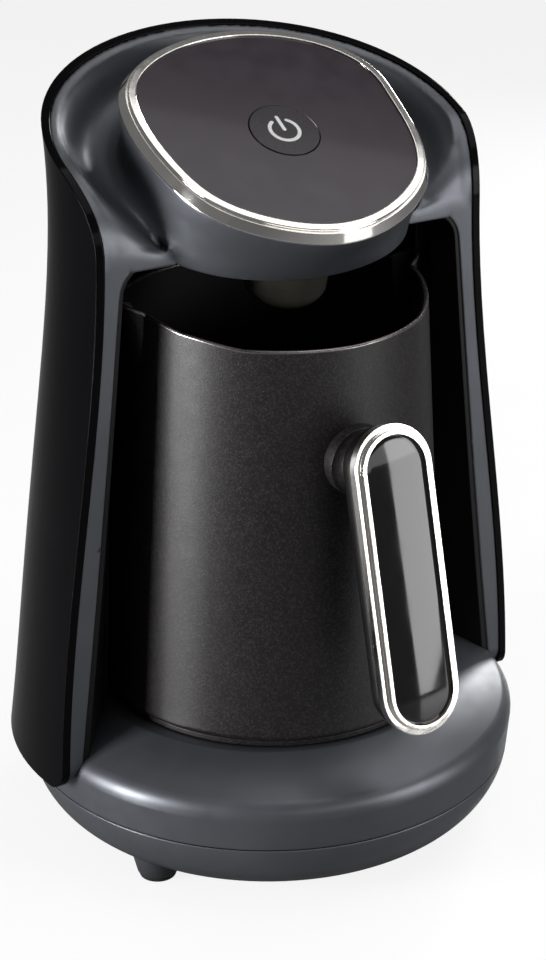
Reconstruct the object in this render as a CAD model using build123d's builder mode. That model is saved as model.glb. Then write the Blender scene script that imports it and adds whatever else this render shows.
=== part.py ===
"""Electric Turkish coffee maker: a hooded machine on a round heated base, and its lift-out pot.

Millimetres, +Z up, the table is z = 0. The pot comes out towards -Y. Sizes are measured from the
axis of the round base, which stands AXIS_Y behind the origin, so that the origin is the middle of
the whole machine's footprint.
"""

import math
import os

from build123d import *

os.makedirs("parts", exist_ok=True)

# ---- driving dimensions ---------------------------------------------------------------------
HANDLE_REACH = 93.65  # base axis to the front of the pot's handle
SHELL_REACH = 83.6  # base axis to the back of the outer shell
AXIS_Y = (HANDLE_REACH - SHELL_REACH) / 2
FIT = 0.3  # air gap between pieces that move against each other
WALL = 2.5  # moulded wall of the large covers
BOARD_T = 1.6

# round base
BASE_R = 78.0
SHOULDER_R = 79.2
SPLIT_Z = 24.9
SPLIT_GAP = 0.4
SHOULDER_Z = 38.6
SHOULDER_ROUND = 6.0
SEAT_Z = 47.4
SEAT_R = 58.5
UNDERSIDE_Z = 7.8
UNDERSIDE_R = 68.5
FOOT_X, FOOT_Y = 55.5, 27.0
FOOT_R = 6.4
PAD_R = 5.8
PAD_H = 1.8
BOSS_R = 4.2
BOSS_X, BOSS_Y = 31.5, 54.5
BOSS_SPLIT_Z = 22.0
SCREW_R = 1.45
PLATE_R = 50.5
SEAL_W = 1.5
PLATE_T = 5.0
BOARD_Z = 15.0
HEATER_Z = SEAT_Z - PLATE_T
CARRIER_T = 1.5
ELEMENT_R = 3.3
ELEMENT_CIRCLE_R = 34.0
SCREW_HEAD_R = 2.8
SCREW_HEAD_T = 1.6
SCREW_SINK = 4.0
GLAND_Z = 17.8
GLAND_Y = 77.6
GLAND_R = 5.4
CORD_BORE_R = 3.3
RIBBON_W = 12.0
RIBBON_T = 0.9
RIBBON_Y = 68.0

# outer shell and hood: an upright elliptical cone, (height, half width, half depth, middle's y)
CONE = (
    (30.0, 84.3, 84.0, 0.0), (70.0, 81.2, 78.8, -3.0), (120.0, 74.9, 73.2, -2.2),
    (185.0, 68.1, 61.2, -1.3), (252.0, 73.0, 55.6, -1.9),
)  # fmt: skip
SHELL_T = 2.5
SHELL_BOTTOM_Z = 31.2
TIP_R = 7.0
WING_Y = -17.2
RIM_SLOPE = 0.44
RIM_Z = 223.3  # height of the sloped rim line above the base axis
RIM_CORNER_R = 26.8
HOOD_STEP = 0.3  # the hood's edge lies this far inside the shell's edge
VALLEY_X, VALLEY_Y = 62.3, 48.4
VALLEY_FLOOR = 13.1
VALLEY_DEEP = 25.0
VALLEY_LEAN = 0.6
VALLEY_CORNER_R = 14.0
FRONT_WALL_Y = -12.6

# pot bay
POT_Y = -3.4
BAY_R_LOW = 59.5
BAY_R_HIGH = 54.5
LINER_T = 2.0
LINER_SIDE_T = 1.2
LINER_SIDE_X = 43.0  # the liner's ceiling is open between its two top corners
LINER_STEP = 0.7  # the liner ends this far behind the wings' front plane
BAY_LOW_Z = 30.0
BAY_HIGH_Z = 200.0
BAY_MOUTH_LOW = ((59.3, 4.0), (77.0, WING_Y))
BAY_MOUTH_HIGH = ((54.4, -2.0), (57.1, WING_Y))
BAY_CORNER_R = 11.0
BAY_TOP_Z = 196.5
BAY_CONE_TOP_Z = 216.0
BAY_FAR_Y = -60.0
BAY_CONE_Y = -6.0

# head: the control panel's plane and the underside's plane, both tipped down to the front
PANEL_Z = 232.0
PANEL_TILT = 28.6
UNDER_Z = 198.1
UNDER_TILT = 14.6
OUTLINE_MID = -9.0
PANEL_HALF = (
    (0.0, -51.3), (21.2, -44.9), (34.3, -32.6), (39.0, -18.6),
    (40.4, 0.0), (37.1, 13.3), (20.0, 26.5), (0.0, 30.2),
)  # fmt: skip
UNDER_HALF = (
    (0.0, -36.2), (20.0, -32.6), (34.0, -24.0), (42.0, -12.0),
    (44.0, 2.0), (37.0, 21.0), (20.0, 33.0), (0.0, 36.0),
)  # fmt: skip
HEAD_WALL = 2.5
RING_W = 4.6
RING_DROP = 3.4
RING_PROUD = 0.5
RING_FACE_W = 2.2
RING_LEDGE_W = 3.0
RING_LEDGE_DROP = 0.5
PANEL_T = 2.0
UNDERPLATE_T = 2.0
BUTTON_V = -11.6
BUTTON_R = 10.6
BOARD_DROP = 11.0
LENS_V = -14.0
LENS_R = 12.8
LENS_SIDE = 13.5
LENS_CAP = 7.5
LENS_T = 1.5
LENS_FLANGE_W = 2.4
SWITCH_H = 2.7
PLUNGER_R = 1.6
STEM_END = -6.9  # end of the button's stem, from the panel's face

# pot and handle
POT_R_LOW = 54.1
POT_R_HIGH = 47.1
POT_BOTTOM_Z = 49.4
POT_RIM_Z = 172.3
POT_TOP_Z = 182.0
POT_T = 1.2
POT_BASE_R = 52.6
RIM_HALF = ((30.0, 172.9), (42.0, 175.4), (48.0, 178.6), (54.0, 181.5))
SPOUT_ROOT_Z = 156.0
SPOUT_ROOT = (43.0, 4.0, 7.0)  # middle's x, half width, half depth
SPOUT_LIP = (45.5, 6.4, 5.2)
GRIP_TILT = 15.0
GRIP_Y, GRIP_Z = -81.85, 110.55  # middle of the grip's front face
GRIP_LENGTH = 66.0  # between the centres of its two rounded ends
INSERT_R = 9.9
FRAME_W = 3.0
FRAME_D = 4.2
CORE_D = 8.6
INSERT_T = 2.0
STUB_R = 7.2
STUB_FLARE = 3.5
STUB_Z = 138.0
SCREW_SEAT = 3.0

# ---- planes and axes ------------------------------------------------------------------------
BASE_AXIS = Axis((0, AXIS_Y, 0), (0, 0, 1))
POT_AXIS = Axis((0, AXIS_Y + POT_Y, 0), (0, 0, 1))
SIDE = Plane(origin=(0, AXIS_Y, 0), x_dir=(0, 1, 0), z_dir=(1, 0, 0))
FRONT = Plane(origin=(0, AXIS_Y, 0), x_dir=(1, 0, 0), z_dir=(0, -1, 0))
POT_FRONT = Plane(origin=(0, AXIS_Y + POT_Y, 0), x_dir=(1, 0, 0), z_dir=(0, -1, 0))
GLAND = Plane(origin=(0, AXIS_Y + GLAND_Y, GLAND_Z), x_dir=(-1, 0, 0), z_dir=(0, 1, 0))
LENS_MID = (0, LENS_V)
RIBBON_ROUTE = (
    (28.0, BOARD_Z + BOARD_T + 4.0 + RIBBON_T / 2), (58.0, BOARD_Z + BOARD_T + 4.0 + RIBBON_T / 2),
    (RIBBON_Y, 33.0), (RIBBON_Y, 50.0), (54.2, 190.0), (51.9, 212.0), (46.0, 218.5),
    (20.0, 212.0), (11.5, 218.5),
)  # fmt: skip


def level(z):
    """Horizontal plane at height z, centred on the base axis."""
    return Plane(origin=(0, AXIS_Y, z))


def pot_level(z):
    """Horizontal plane at height z, centred on the pot's axis."""
    return Plane(origin=(0, AXIS_Y + POT_Y, z))


def tipped(z, degrees, lift):
    """Plane through height z on the base axis, tipped down to the front, lifted along its normal."""
    tilt = math.radians(degrees)
    return Plane(
        origin=(0, AXIS_Y - lift * math.sin(tilt), z + lift * math.cos(tilt)),
        x_dir=(1, 0, 0),
        z_dir=(0, -math.sin(tilt), math.cos(tilt)),
    )


def panel_plane(lift=0.0):
    return tipped(PANEL_Z, PANEL_TILT, lift)


def under_plane(lift=0.0):
    return tipped(UNDER_Z, UNDER_TILT, lift)


def grip_plane(lift=0.0):
    """Plane of the grip's front face, leaning back to the pot at the top, lifted to the front."""
    tilt = math.radians(GRIP_TILT)
    return Plane(
        origin=(0, AXIS_Y + GRIP_Y - lift * math.cos(tilt), GRIP_Z + lift * math.sin(tilt)),
        x_dir=(1, 0, 0),
        z_dir=(0, -math.cos(tilt), math.sin(tilt)),
    )


def save(piece, name):
    """Name a finished piece and write it."""
    piece.part.label = name
    export_step(piece.part, f"parts/{name}.step")


# ---- shared outlines and bodies -------------------------------------------------------------
def outline(half, grow=0.0):
    """Closed face through the half points, mirrored about x = 0 and moved out by grow."""
    side = len(half) // 2
    mirrored = [(-x, y) for x, y in half[-2:0:-1]]
    ring = [*half[side:], *mirrored, *half[:side]]
    points = []
    for x, y in ring:
        scale = 1 + grow / math.hypot(x, y - OUTLINE_MID)
        points.append((x * scale, OUTLINE_MID + (y - OUTLINE_MID) * scale))
    with BuildSketch() as face:
        with BuildLine():
            Spline(*points, periodic=True)
        make_face()
    return face.sketch


def cone_body(inset):
    """The machine's upright elliptical cone, moved in by inset."""
    with BuildPart() as body:
        for z, half_width, half_depth, middle in CONE:
            with BuildSketch(level(z)):
                with Locations((0, middle)):
                    Ellipse(half_width - inset, half_depth - inset)
        loft()
    return body.part


def side_slab(inset, bottom):
    """Everything behind the wings' front plane, below the sloped rim and above bottom."""
    front = WING_Y + inset
    rim = RIM_Z - inset * math.hypot(1, RIM_SLOPE)
    corner = (front, rim + RIM_SLOPE * front)
    with BuildPart() as slab:
        with BuildSketch(SIDE):
            with BuildLine():
                Polyline((front, bottom), corner, (100, rim + RIM_SLOPE * 100), (100, bottom), close=True)
            make_face()
            fillet(vertices().sort_by_distance(corner)[0], RIM_CORNER_R - inset)
            fillet(vertices().sort_by_distance((front, bottom))[0], TIP_R - inset)
        extrude(amount=100, both=True)
    return slab.part


def valley(grow):
    """The hollow between the hood's band and its head, open to the front, grown by grow."""
    tilt = math.degrees(math.atan(RIM_SLOPE))
    half_width, half_depth = VALLEY_X + grow, VALLEY_Y / math.cos(math.radians(tilt)) + grow
    floor = RIM_Z - VALLEY_FLOOR - grow
    front = FRONT_WALL_Y + grow
    corner = (front, floor + RIM_SLOPE * front)
    with BuildPart() as bowl:
        for lift in (8.0, -VALLEY_DEEP):
            with BuildSketch(tipped(RIM_Z, tilt, lift)):
                Ellipse(half_width + lift * VALLEY_LEAN, half_depth + lift * VALLEY_LEAN)
        loft(ruled=True)
        with BuildSketch(SIDE):
            with BuildLine():
                Polyline(
                    (front, 150), corner, (100, floor + RIM_SLOPE * 100), (100, 300), (-80, 300), (-80, 150),
                    close=True,
                )  # fmt: skip
            make_face()
            fillet(vertices().sort_by_distance(corner)[0], VALLEY_CORNER_R - grow)
        extrude(amount=100, both=True, mode=Mode.INTERSECT)
    return bowl.part


def bay_mouth(grow):
    """The flared front part of the pot bay, between the wings, grown by grow."""
    low_x, high_x = BAY_MOUTH_LOW[1][0] + grow, BAY_MOUTH_HIGH[1][0] + grow
    top = BAY_TOP_Z + grow
    with BuildPart() as mouth:
        for z, ((back_x, back_y), (front_x, front_y)) in (
            (BAY_LOW_Z, BAY_MOUTH_LOW),
            (BAY_HIGH_Z, BAY_MOUTH_HIGH),
        ):
            far_x = front_x + (front_x - back_x) * (BAY_FAR_Y - front_y) / (front_y - back_y)
            right = [(back_x + grow, back_y + grow), (far_x + grow, BAY_FAR_Y)]
            left = [(-x, y) for x, y in reversed(right)]
            with BuildSketch(level(z)):
                with BuildLine():
                    Polyline(*right, *left, close=True)
                make_face()
        loft(ruled=True)
        with BuildSketch(FRONT):
            with BuildLine():
                Polyline((low_x, BAY_LOW_Z), (high_x, top), (-high_x, top), (-low_x, BAY_LOW_Z), close=True)
            make_face()
            fillet(vertices().group_by(Axis.Y)[-1], BAY_CORNER_R + grow)
        extrude(amount=100, both=True, mode=Mode.INTERSECT)
        split(bisect_by=under_plane(), keep=Keep.BOTTOM)
    return mouth.part


def bay_cone(inset):
    """The round back part of the pot bay, moved in by inset, reaching up past the ceiling."""
    rise = (BAY_CONE_TOP_Z - BAY_LOW_Z) / (BAY_HIGH_Z - BAY_LOW_Z)
    top_r = BAY_R_LOW + (BAY_R_HIGH - BAY_R_LOW) * rise - inset
    with BuildPart() as cone:
        with BuildSketch(POT_FRONT):
            with BuildLine():
                low, high = (BAY_R_LOW - inset, BAY_LOW_Z), (top_r, BAY_CONE_TOP_Z)
                Polyline((0, BAY_LOW_Z), low, high, (0, BAY_CONE_TOP_Z), close=True)
            make_face()
        revolve(axis=POT_AXIS)
        with BuildSketch(level(BAY_LOW_Z)):
            with Locations((0, BAY_CONE_Y)):
                Rectangle(200, 100, align=(Align.CENTER, Align.MIN))
        extrude(amount=200, mode=Mode.INTERSECT)
        split(bisect_by=under_plane(), keep=Keep.BOTTOM)
    return cone.part


def base_dome(inset):
    """The closed dome of the base above its split line, moved in by inset."""
    side, shoulder = (BASE_R - inset, SPLIT_Z), (SHOULDER_R - inset, SHOULDER_Z - inset * 0.7)
    seat = (SEAT_R, SEAT_Z - inset)
    crown = ((shoulder[0] + seat[0]) / 2, (shoulder[1] + seat[1]) / 2 + 1.0)
    with BuildPart() as dome:
        with BuildSketch(FRONT):
            with BuildLine():
                Polyline((0, SPLIT_Z), side, shoulder)
                ThreePointArc(shoulder, crown, seat)
                Polyline(seat, (0, SEAT_Z - inset), (0, SPLIT_Z))
            make_face()
            fillet(vertices().sort_by_distance(shoulder)[0], SHOULDER_ROUND - inset)
        revolve(axis=BASE_AXIS)
    return dome.part


def base_bowl(inset):
    """The closed bowl of the base below its split line, moved in by inset."""
    top, bottom = (BASE_R - inset, SPLIT_Z - SPLIT_GAP), (UNDERSIDE_R - inset, UNDERSIDE_Z + inset)
    belly = ((top[0] + bottom[0]) / 2 + 1.6, (top[1] + bottom[1]) / 2 - 1.6)
    with BuildPart() as bowl:
        with BuildSketch(FRONT):
            with BuildLine():
                Line((0, top[1]), top)
                ThreePointArc(top, belly, bottom)
                Polyline(bottom, (0, bottom[1]), (0, top[1]))
            make_face()
        revolve(axis=BASE_AXIS)
    return bowl.part


def pot_solid(inset):
    """The pot's tapered round body with its two spouts, moved in by inset, up to the highest rim."""
    rise = (POT_TOP_Z - POT_BOTTOM_Z) / (POT_RIM_Z - POT_BOTTOM_Z)
    top_r = POT_R_LOW + (POT_R_HIGH - POT_R_LOW) * rise - inset
    low = (POT_R_LOW - inset, POT_BOTTOM_Z + inset)
    with BuildPart() as body:
        with BuildSketch(POT_FRONT):
            with BuildLine():
                Polyline((0, low[1]), low, (top_r, POT_TOP_Z), (0, POT_TOP_Z), close=True)
            make_face()
            fillet(vertices().sort_by_distance(low)[0], 2.0)
        revolve(axis=POT_AXIS)
        for side in (-1, 1):
            for z, (middle, half_width, half_depth) in ((SPOUT_ROOT_Z, SPOUT_ROOT), (POT_TOP_Z, SPOUT_LIP)):
                with BuildSketch(pot_level(z)):
                    with Locations((side * middle, 0)):
                        Ellipse(half_width - inset, half_depth - inset)
            loft()
    return body.part


def ring_points(radius, count, start):
    """Points evenly spaced on a circle, from the angle start."""
    turns = [math.radians(start + 360 * i / count) for i in range(count)]
    return [(radius * math.cos(turn), radius * math.sin(turn)) for turn in turns]


def pillars(plane, points, radius, height):
    """Equal round pillars standing on plane."""
    with BuildPart() as group:
        with BuildSketch(plane):
            with Locations(*points):
                Circle(radius)
        extrude(amount=height)
    return group.part


def screws(plane, points, length):
    """Pan-head screws seated on plane: shanks run length along its normal, heads stand behind it."""
    with BuildPart() as group:
        add(pillars(plane, points, SCREW_HEAD_R, -math.copysign(SCREW_HEAD_T, length)))
        add(pillars(plane, points, SCREW_R, length))
    return group


def ribbon(room):
    """The flat cable along its route, with room around it."""
    with BuildPart() as cable:
        with BuildSketch(SIDE):
            with BuildLine():
                FilletPolyline(*RIBBON_ROUTE, radius=4.0)
            trace(line_width=RIBBON_T + 2 * room)
        extrude(amount=RIBBON_W / 2 + room, both=True)
    return cable


def block(plane, centre, width, depth, height):
    """A plain rectangular part standing on plane."""
    with BuildPart() as box:
        with BuildSketch(plane):
            with Locations(centre):
                Rectangle(width, depth)
        extrude(amount=height)
    return box


LENS_CENTRE = under_plane().from_local_coords(Vector(0, LENS_V, 0))
LENS_SECTION = Plane(origin=LENS_CENTRE, x_dir=(1, 0, 0), z_dir=-under_plane().y_dir)
LENS_AXIS = Axis(LENS_CENTRE, under_plane().z_dir)
BASE_BOSSES = [(x, y) for x in (-BOSS_X, BOSS_X) for y in (-BOSS_Y, BOSS_Y)]
CARRIER_SCREWS = ring_points(54.6, 3, 90)
FEET = [(x, y) for x in (-FOOT_X, FOOT_X) for y in (-FOOT_Y, FOOT_Y)]
BOARD_POSTS = [(x, y) for x in (-26, 26) for y in (-2, 32)]
HEAD_BOSSES = [(x, y) for x in (-35.5, 35.5) for y in (-14.5, 19.0)]
LENS_POSTS = [(x, LENS_V) for x in (-19, 19)]
STUB_SCREW = [(0, (STUB_Z - GRIP_Z) / math.cos(math.radians(GRIP_TILT)))]
PANEL_POSTS = [(x, y) for x in (-22, 22) for y in (BUTTON_V - 15, BUTTON_V + 15)]

# ---- base ------------------------------------------------------------------------------------
dome, bowl = base_dome(0), base_bowl(0)

with BuildPart() as lower_shell:
    add(bowl)
    add(base_bowl(2.2), mode=Mode.SUBTRACT)
    add(pillars(level(UNDERSIDE_Z), BASE_BOSSES, BOSS_R, BOSS_SPLIT_Z - UNDERSIDE_Z))
    add(pillars(level(UNDERSIDE_Z), BOARD_POSTS, 3.0, BOARD_Z - UNDERSIDE_Z))
    for foot in FEET:
        with BuildSketch(level(PAD_H)):
            with Locations(foot):
                Circle(FOOT_R)
        with BuildSketch(level(UNDERSIDE_Z + 1.2)):
            with Locations(foot):
                Circle(FOOT_R + 1.8)
        loft()
    add(pillars(level(UNDERSIDE_Z), BASE_BOSSES, SCREW_HEAD_R + FIT, SCREW_SINK), mode=Mode.SUBTRACT)
    add(pillars(level(UNDERSIDE_Z), BASE_BOSSES, SCREW_R, 20.0), mode=Mode.SUBTRACT)
    add(pillars(level(BOARD_Z), BOARD_POSTS, SCREW_R, -5.0), mode=Mode.SUBTRACT)
    with BuildSketch(GLAND):
        Circle(GLAND_R)
    extrude(amount=-20, mode=Mode.SUBTRACT)
save(lower_shell, "lower_shell")

with BuildPart() as foot_pads:
    add(pillars(level(0), FEET, PAD_R, PAD_H))
save(foot_pads, "foot_pads")

with BuildPart() as base_room:
    add(base_dome(WALL))
    add(pillars(level(SPLIT_Z), BASE_BOSSES, BOSS_R, SEAT_Z), mode=Mode.SUBTRACT)
    add(pillars(level(HEATER_Z), CARRIER_SCREWS, 3.2, SEAT_Z), mode=Mode.SUBTRACT)

with BuildPart() as base_cover:
    add(dome)
    add(pillars(level(BOSS_SPLIT_Z), BASE_BOSSES, BOSS_R, SPLIT_Z - BOSS_SPLIT_Z))
    add(base_room.part, mode=Mode.SUBTRACT)
    add(pillars(level(UNDERSIDE_Z), BASE_BOSSES, SCREW_R, 30.0), mode=Mode.SUBTRACT)
    add(pillars(level(HEATER_Z), CARRIER_SCREWS, SCREW_R, 3.5), mode=Mode.SUBTRACT)
    add(pillars(level(HEATER_Z), [(0, 0)], PLATE_R + SEAL_W, 20.0), mode=Mode.SUBTRACT)
    with BuildSketch(level(SPLIT_Z)):
        with Locations((0, RIBBON_Y)):
            Rectangle(RIBBON_W + 2, 5)
    extrude(amount=SEAT_Z, mode=Mode.SUBTRACT)
save(base_cover, "base_cover")

base_screws = screws(level(UNDERSIDE_Z + SCREW_SINK), BASE_BOSSES, 24.0)
save(base_screws, "base_screws")

with BuildPart() as cord_gland:
    with BuildSketch(GLAND):
        Circle(GLAND_R)
    extrude(amount=-12.5)
    with BuildSketch(GLAND.offset(-10.5)):
        Circle(GLAND_R + 1.4)
    extrude(amount=-2)
    with BuildSketch(GLAND.offset(-13)):
        Circle(CORD_BORE_R)
    extrude(amount=14, mode=Mode.SUBTRACT)
    chamfer(edges().filter_by(GeomType.CIRCLE).sort_by(Axis.Y)[-1], 0.8)
save(cord_gland, "cord_gland")

# ---- heater and power electronics ------------------------------------------------------------
with BuildPart() as hotplate:
    add(pillars(level(HEATER_Z), [(0, 0)], PLATE_R, PLATE_T))
    chamfer(edges().sort_by(Axis.Z)[-1], 0.5)
save(hotplate, "hotplate")

with BuildPart() as hotplate_seal:
    add(pillars(level(HEATER_Z), [(0, 0)], PLATE_R + SEAL_W, PLATE_T - 0.8))
    add(pillars(level(HEATER_Z), [(0, 0)], PLATE_R, PLATE_T), mode=Mode.SUBTRACT)
save(hotplate_seal, "hotplate_seal")

with BuildPart() as heater_carrier:
    add(pillars(level(HEATER_Z), [(0, 0)], 57.5, -CARRIER_T))
    add(pillars(level(HEATER_Z), [(0, 0)], 40.0, -CARRIER_T), mode=Mode.SUBTRACT)
    add(pillars(level(HEATER_Z), CARRIER_SCREWS, SCREW_R, -CARRIER_T), mode=Mode.SUBTRACT)
save(heater_carrier, "heater_carrier")

carrier_screws = screws(level(HEATER_Z - CARRIER_T), CARRIER_SCREWS, 4.6)
save(carrier_screws, "carrier_screws")

with BuildPart() as heating_element:
    with BuildLine(level(HEATER_Z - ELEMENT_R)):
        loop = CenterArc((0, 0), ELEMENT_CIRCLE_R, -75, 330)
    with BuildSketch(Plane(origin=loop @ 0, z_dir=loop % 0)):
        Circle(ELEMENT_R)
    sweep(path=loop)
    ends = [(point.X, point.Y - AXIS_Y) for point in (loop @ 0, loop @ 1)]
    add(pillars(level(HEATER_Z - ELEMENT_R), ends, ELEMENT_R - 0.1, -7.0))
    add(pillars(level(HEATER_Z - ELEMENT_R - 7.0), ends, 1.5, -6.0))
save(heating_element, "heating_element")

with BuildPart() as thermostat:
    add(pillars(level(HEATER_Z), [(0, 0)], 8.0, -7.0))
    add(block(level(HEATER_Z - 7.0), (0, 0), 14.0, 4.0, -5.0).part)
save(thermostat, "thermostat")

with BuildPart() as thermal_fuse:
    with BuildSketch(Plane(origin=(-8, AXIS_Y + 20, HEATER_Z - 2.0), x_dir=(0, 1, 0), z_dir=(1, 0, 0))):
        Circle(2.0)
    extrude(amount=16)
save(thermal_fuse, "thermal_fuse")

with BuildPart() as power_board:
    with BuildSketch(level(BOARD_Z)):
        with Locations((0, 15)):
            RectangleRounded(60, 42, 3)
        with Locations(*BOARD_POSTS):
            Circle(SCREW_R, mode=Mode.SUBTRACT)
    extrude(amount=BOARD_T)
save(power_board, "power_board")

board_top = level(BOARD_Z + BOARD_T)
power_board_screws = screws(board_top, BOARD_POSTS, -6.0)
save(power_board_screws, "power_board_screws")
for name, centre, width, depth, height in (
    ("relay", (-13, 16), 15.0, 19.0, 15.5),
    ("filter_capacitor", (10, 20), 18.0, 8.0, 14.0),
    ("terminal_block", (6, 3), 20.0, 8.5, 11.0),
    ("ribbon_socket", (0, 30.5), 14.0, 5.0, 4.0),
):
    save(block(board_top, centre, width, depth, height), name)

# ---- outer shell, hood and bay ---------------------------------------------------------------
outer, mouth, round_bay = cone_body(0), bay_mouth(0), bay_cone(0)

with BuildPart() as outer_shell:
    add(outer)
    add(cone_body(SHELL_T), mode=Mode.SUBTRACT)
    add(side_slab(0, SHELL_BOTTOM_Z), mode=Mode.INTERSECT)
save(outer_shell, "outer_shell")

with BuildPart() as hollow:
    add(cone_body(SHELL_T + WALL))
    add(side_slab(HOOD_STEP + WALL, BAY_LOW_Z), mode=Mode.INTERSECT)
    add(valley(WALL), mode=Mode.SUBTRACT)
    add(bay_mouth(WALL), mode=Mode.SUBTRACT)

with BuildPart() as head_room:
    with BuildSketch(under_plane(0)):
        add(outline(UNDER_HALF, -2 * HEAD_WALL))
    with BuildSketch(panel_plane(-RING_DROP)):
        add(outline(PANEL_HALF, -3.0))
    loft()

with BuildPart() as head:
    with BuildSketch(under_plane()):
        add(outline(UNDER_HALF))
    with BuildSketch(panel_plane(-RING_DROP)):
        add(outline(PANEL_HALF, RING_W))
    loft()
    add(head_room.part, mode=Mode.SUBTRACT)
    add(hollow.part, mode=Mode.SUBTRACT)

with BuildPart() as ceiling:
    with BuildSketch(under_plane()):
        with Locations((0, POT_Y)):
            Circle(BAY_R_HIGH + 0.6)
        with Locations((0, FRONT_WALL_Y + WALL + 0.4)):
            Rectangle(200, 200, align=(Align.CENTER, Align.MIN), mode=Mode.INTERSECT)
        add(outline(UNDER_HALF, -HEAD_WALL))
    extrude(amount=UNDERPLATE_T)

with BuildPart() as hood:
    add(cone_body(SHELL_T))
    add(side_slab(HOOD_STEP, SHELL_BOTTOM_Z + 1.5), mode=Mode.INTERSECT)
    for cut in (dome, hollow.part, mouth, round_bay, head_room.part):
        add(cut, mode=Mode.SUBTRACT)
    add(pillars(under_plane(UNDERPLATE_T), HEAD_BOSSES, 3.4, 16.0))
    add(valley(0), mode=Mode.SUBTRACT)
    add(head.part)
    add(ceiling.part, mode=Mode.SUBTRACT)
    add(ribbon(FIT).part, mode=Mode.SUBTRACT)
    add(pillars(under_plane(UNDERPLATE_T), HEAD_BOSSES, SCREW_R, 7.0), mode=Mode.SUBTRACT)
save(hood, "hood")

with BuildPart() as liner_sides:
    add(mouth)
    add(bay_mouth(-LINER_SIDE_T), mode=Mode.SUBTRACT)
    add(round_bay, mode=Mode.SUBTRACT)
    add(valley(0), mode=Mode.SUBTRACT)
    with BuildSketch(SIDE):
        with Locations((WING_Y + LINER_STEP, 0)):
            Rectangle(100, 400, align=(Align.MIN, Align.CENTER))
    extrude(amount=100, both=True, mode=Mode.INTERSECT)
    with BuildSketch(level(0)):
        Rectangle(2 * LINER_SIDE_X, 200)
    extrude(amount=300, mode=Mode.SUBTRACT)

with BuildPart() as bay_liner:
    add(round_bay)
    add(bay_cone(LINER_T), mode=Mode.SUBTRACT)
    with BuildSketch(SIDE):
        with BuildLine():
            low, high = (BAY_MOUTH_LOW[0][1], BAY_LOW_Z), (BAY_MOUTH_HIGH[0][1], BAY_HIGH_Z + 20)
            Polyline(low, high, (100, high[1]), (100, low[1]), close=True)
        make_face()
    extrude(amount=100, both=True, mode=Mode.INTERSECT)
    add(liner_sides.part)
    add(dome, mode=Mode.SUBTRACT)
save(bay_liner, "bay_liner")

# ---- head: underside, lens and electronics ---------------------------------------------------
with BuildPart() as head_underside:
    add(ceiling.part)
    with BuildSketch(under_plane()):
        with Locations(LENS_MID):
            Circle(LENS_R)
    extrude(amount=UNDERPLATE_T, mode=Mode.SUBTRACT)
    add(pillars(under_plane(), HEAD_BOSSES, SCREW_R, UNDERPLATE_T), mode=Mode.SUBTRACT)
    add(pillars(under_plane(UNDERPLATE_T), LENS_POSTS, 2.4, 7.0))
save(head_underside, "head_underside")

underside_screws = screws(under_plane(), HEAD_BOSSES, 8.0)
save(underside_screws, "underside_screws")

with BuildPart() as sensor_lens:
    with BuildSketch(LENS_SECTION):
        with BuildLine():
            inner, flange = LENS_R - LENS_T, (LENS_R + LENS_FLANGE_W, UNDERPLATE_T)
            EllipticalCenterArc((0, -LENS_SIDE), LENS_R, LENS_CAP, -90, arc_size=90)
            Polyline((LENS_R, -LENS_SIDE), (LENS_R, UNDERPLATE_T), flange, (flange[0], flange[1] + LENS_T))
            Polyline((flange[0], flange[1] + LENS_T), (inner, flange[1] + LENS_T), (inner, -LENS_SIDE))
            EllipticalCenterArc((0, -LENS_SIDE), inner, LENS_CAP - LENS_T, -90, arc_size=90)
            Line((0, -LENS_SIDE - LENS_CAP + LENS_T), (0, -LENS_SIDE - LENS_CAP))
        make_face()
    revolve(axis=LENS_AXIS)
save(sensor_lens, "sensor_lens")

with BuildPart() as sensor_board:
    with BuildSketch(under_plane(UNDERPLATE_T + 7.0)):
        with Locations(LENS_MID):
            RectangleRounded(46, 16, 2)
    extrude(amount=BOARD_T)
save(sensor_board, "sensor_board")

with BuildPart() as level_sensor:
    with BuildSketch(under_plane(UNDERPLATE_T + 7.0)):
        with Locations(LENS_MID):
            Circle(2.5)
    extrude(amount=-12)
save(level_sensor, "level_sensor")

with BuildPart() as panel_frame:
    with BuildSketch(panel_plane(-RING_DROP)):
        add(outline(PANEL_HALF, -0.3))
        with Locations((0, BUTTON_V)):
            Circle(BUTTON_R + FIT, mode=Mode.SUBTRACT)
    extrude(amount=RING_DROP - PANEL_T)
    add(pillars(panel_plane(-RING_DROP), PANEL_POSTS, 2.8, RING_DROP - BOARD_DROP))
    add(pillars(panel_plane(-BOARD_DROP), PANEL_POSTS, SCREW_R, 6.0), mode=Mode.SUBTRACT)
save(panel_frame, "panel_frame")

with BuildPart() as control_board:
    with BuildSketch(panel_plane(-BOARD_DROP)):
        with Locations((0, BUTTON_V)):
            RectangleRounded(54, 40, 4)
        with Locations(*PANEL_POSTS):
            Circle(SCREW_R, mode=Mode.SUBTRACT)
    extrude(amount=-BOARD_T)
save(control_board, "control_board")

control_board_screws = screws(panel_plane(-BOARD_DROP - BOARD_T), PANEL_POSTS, 6.5)
save(control_board_screws, "control_board_screws")

with BuildPart() as tact_switch:
    with BuildSketch(panel_plane(-BOARD_DROP)):
        with Locations((0, BUTTON_V)):
            RectangleRounded(6.5, 6.5, 0.6)
    extrude(amount=SWITCH_H)
    with BuildSketch(panel_plane(-BOARD_DROP + SWITCH_H)):
        with Locations((0, BUTTON_V)):
            Circle(PLUNGER_R + FIT / 2)
    extrude(amount=-1.9, mode=Mode.SUBTRACT)
save(tact_switch, "tact_switch")

with BuildPart() as switch_plunger:
    add(pillars(panel_plane(STEM_END), [(0, BUTTON_V)], PLUNGER_R, -2.0))
save(switch_plunger, "switch_plunger")

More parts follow.
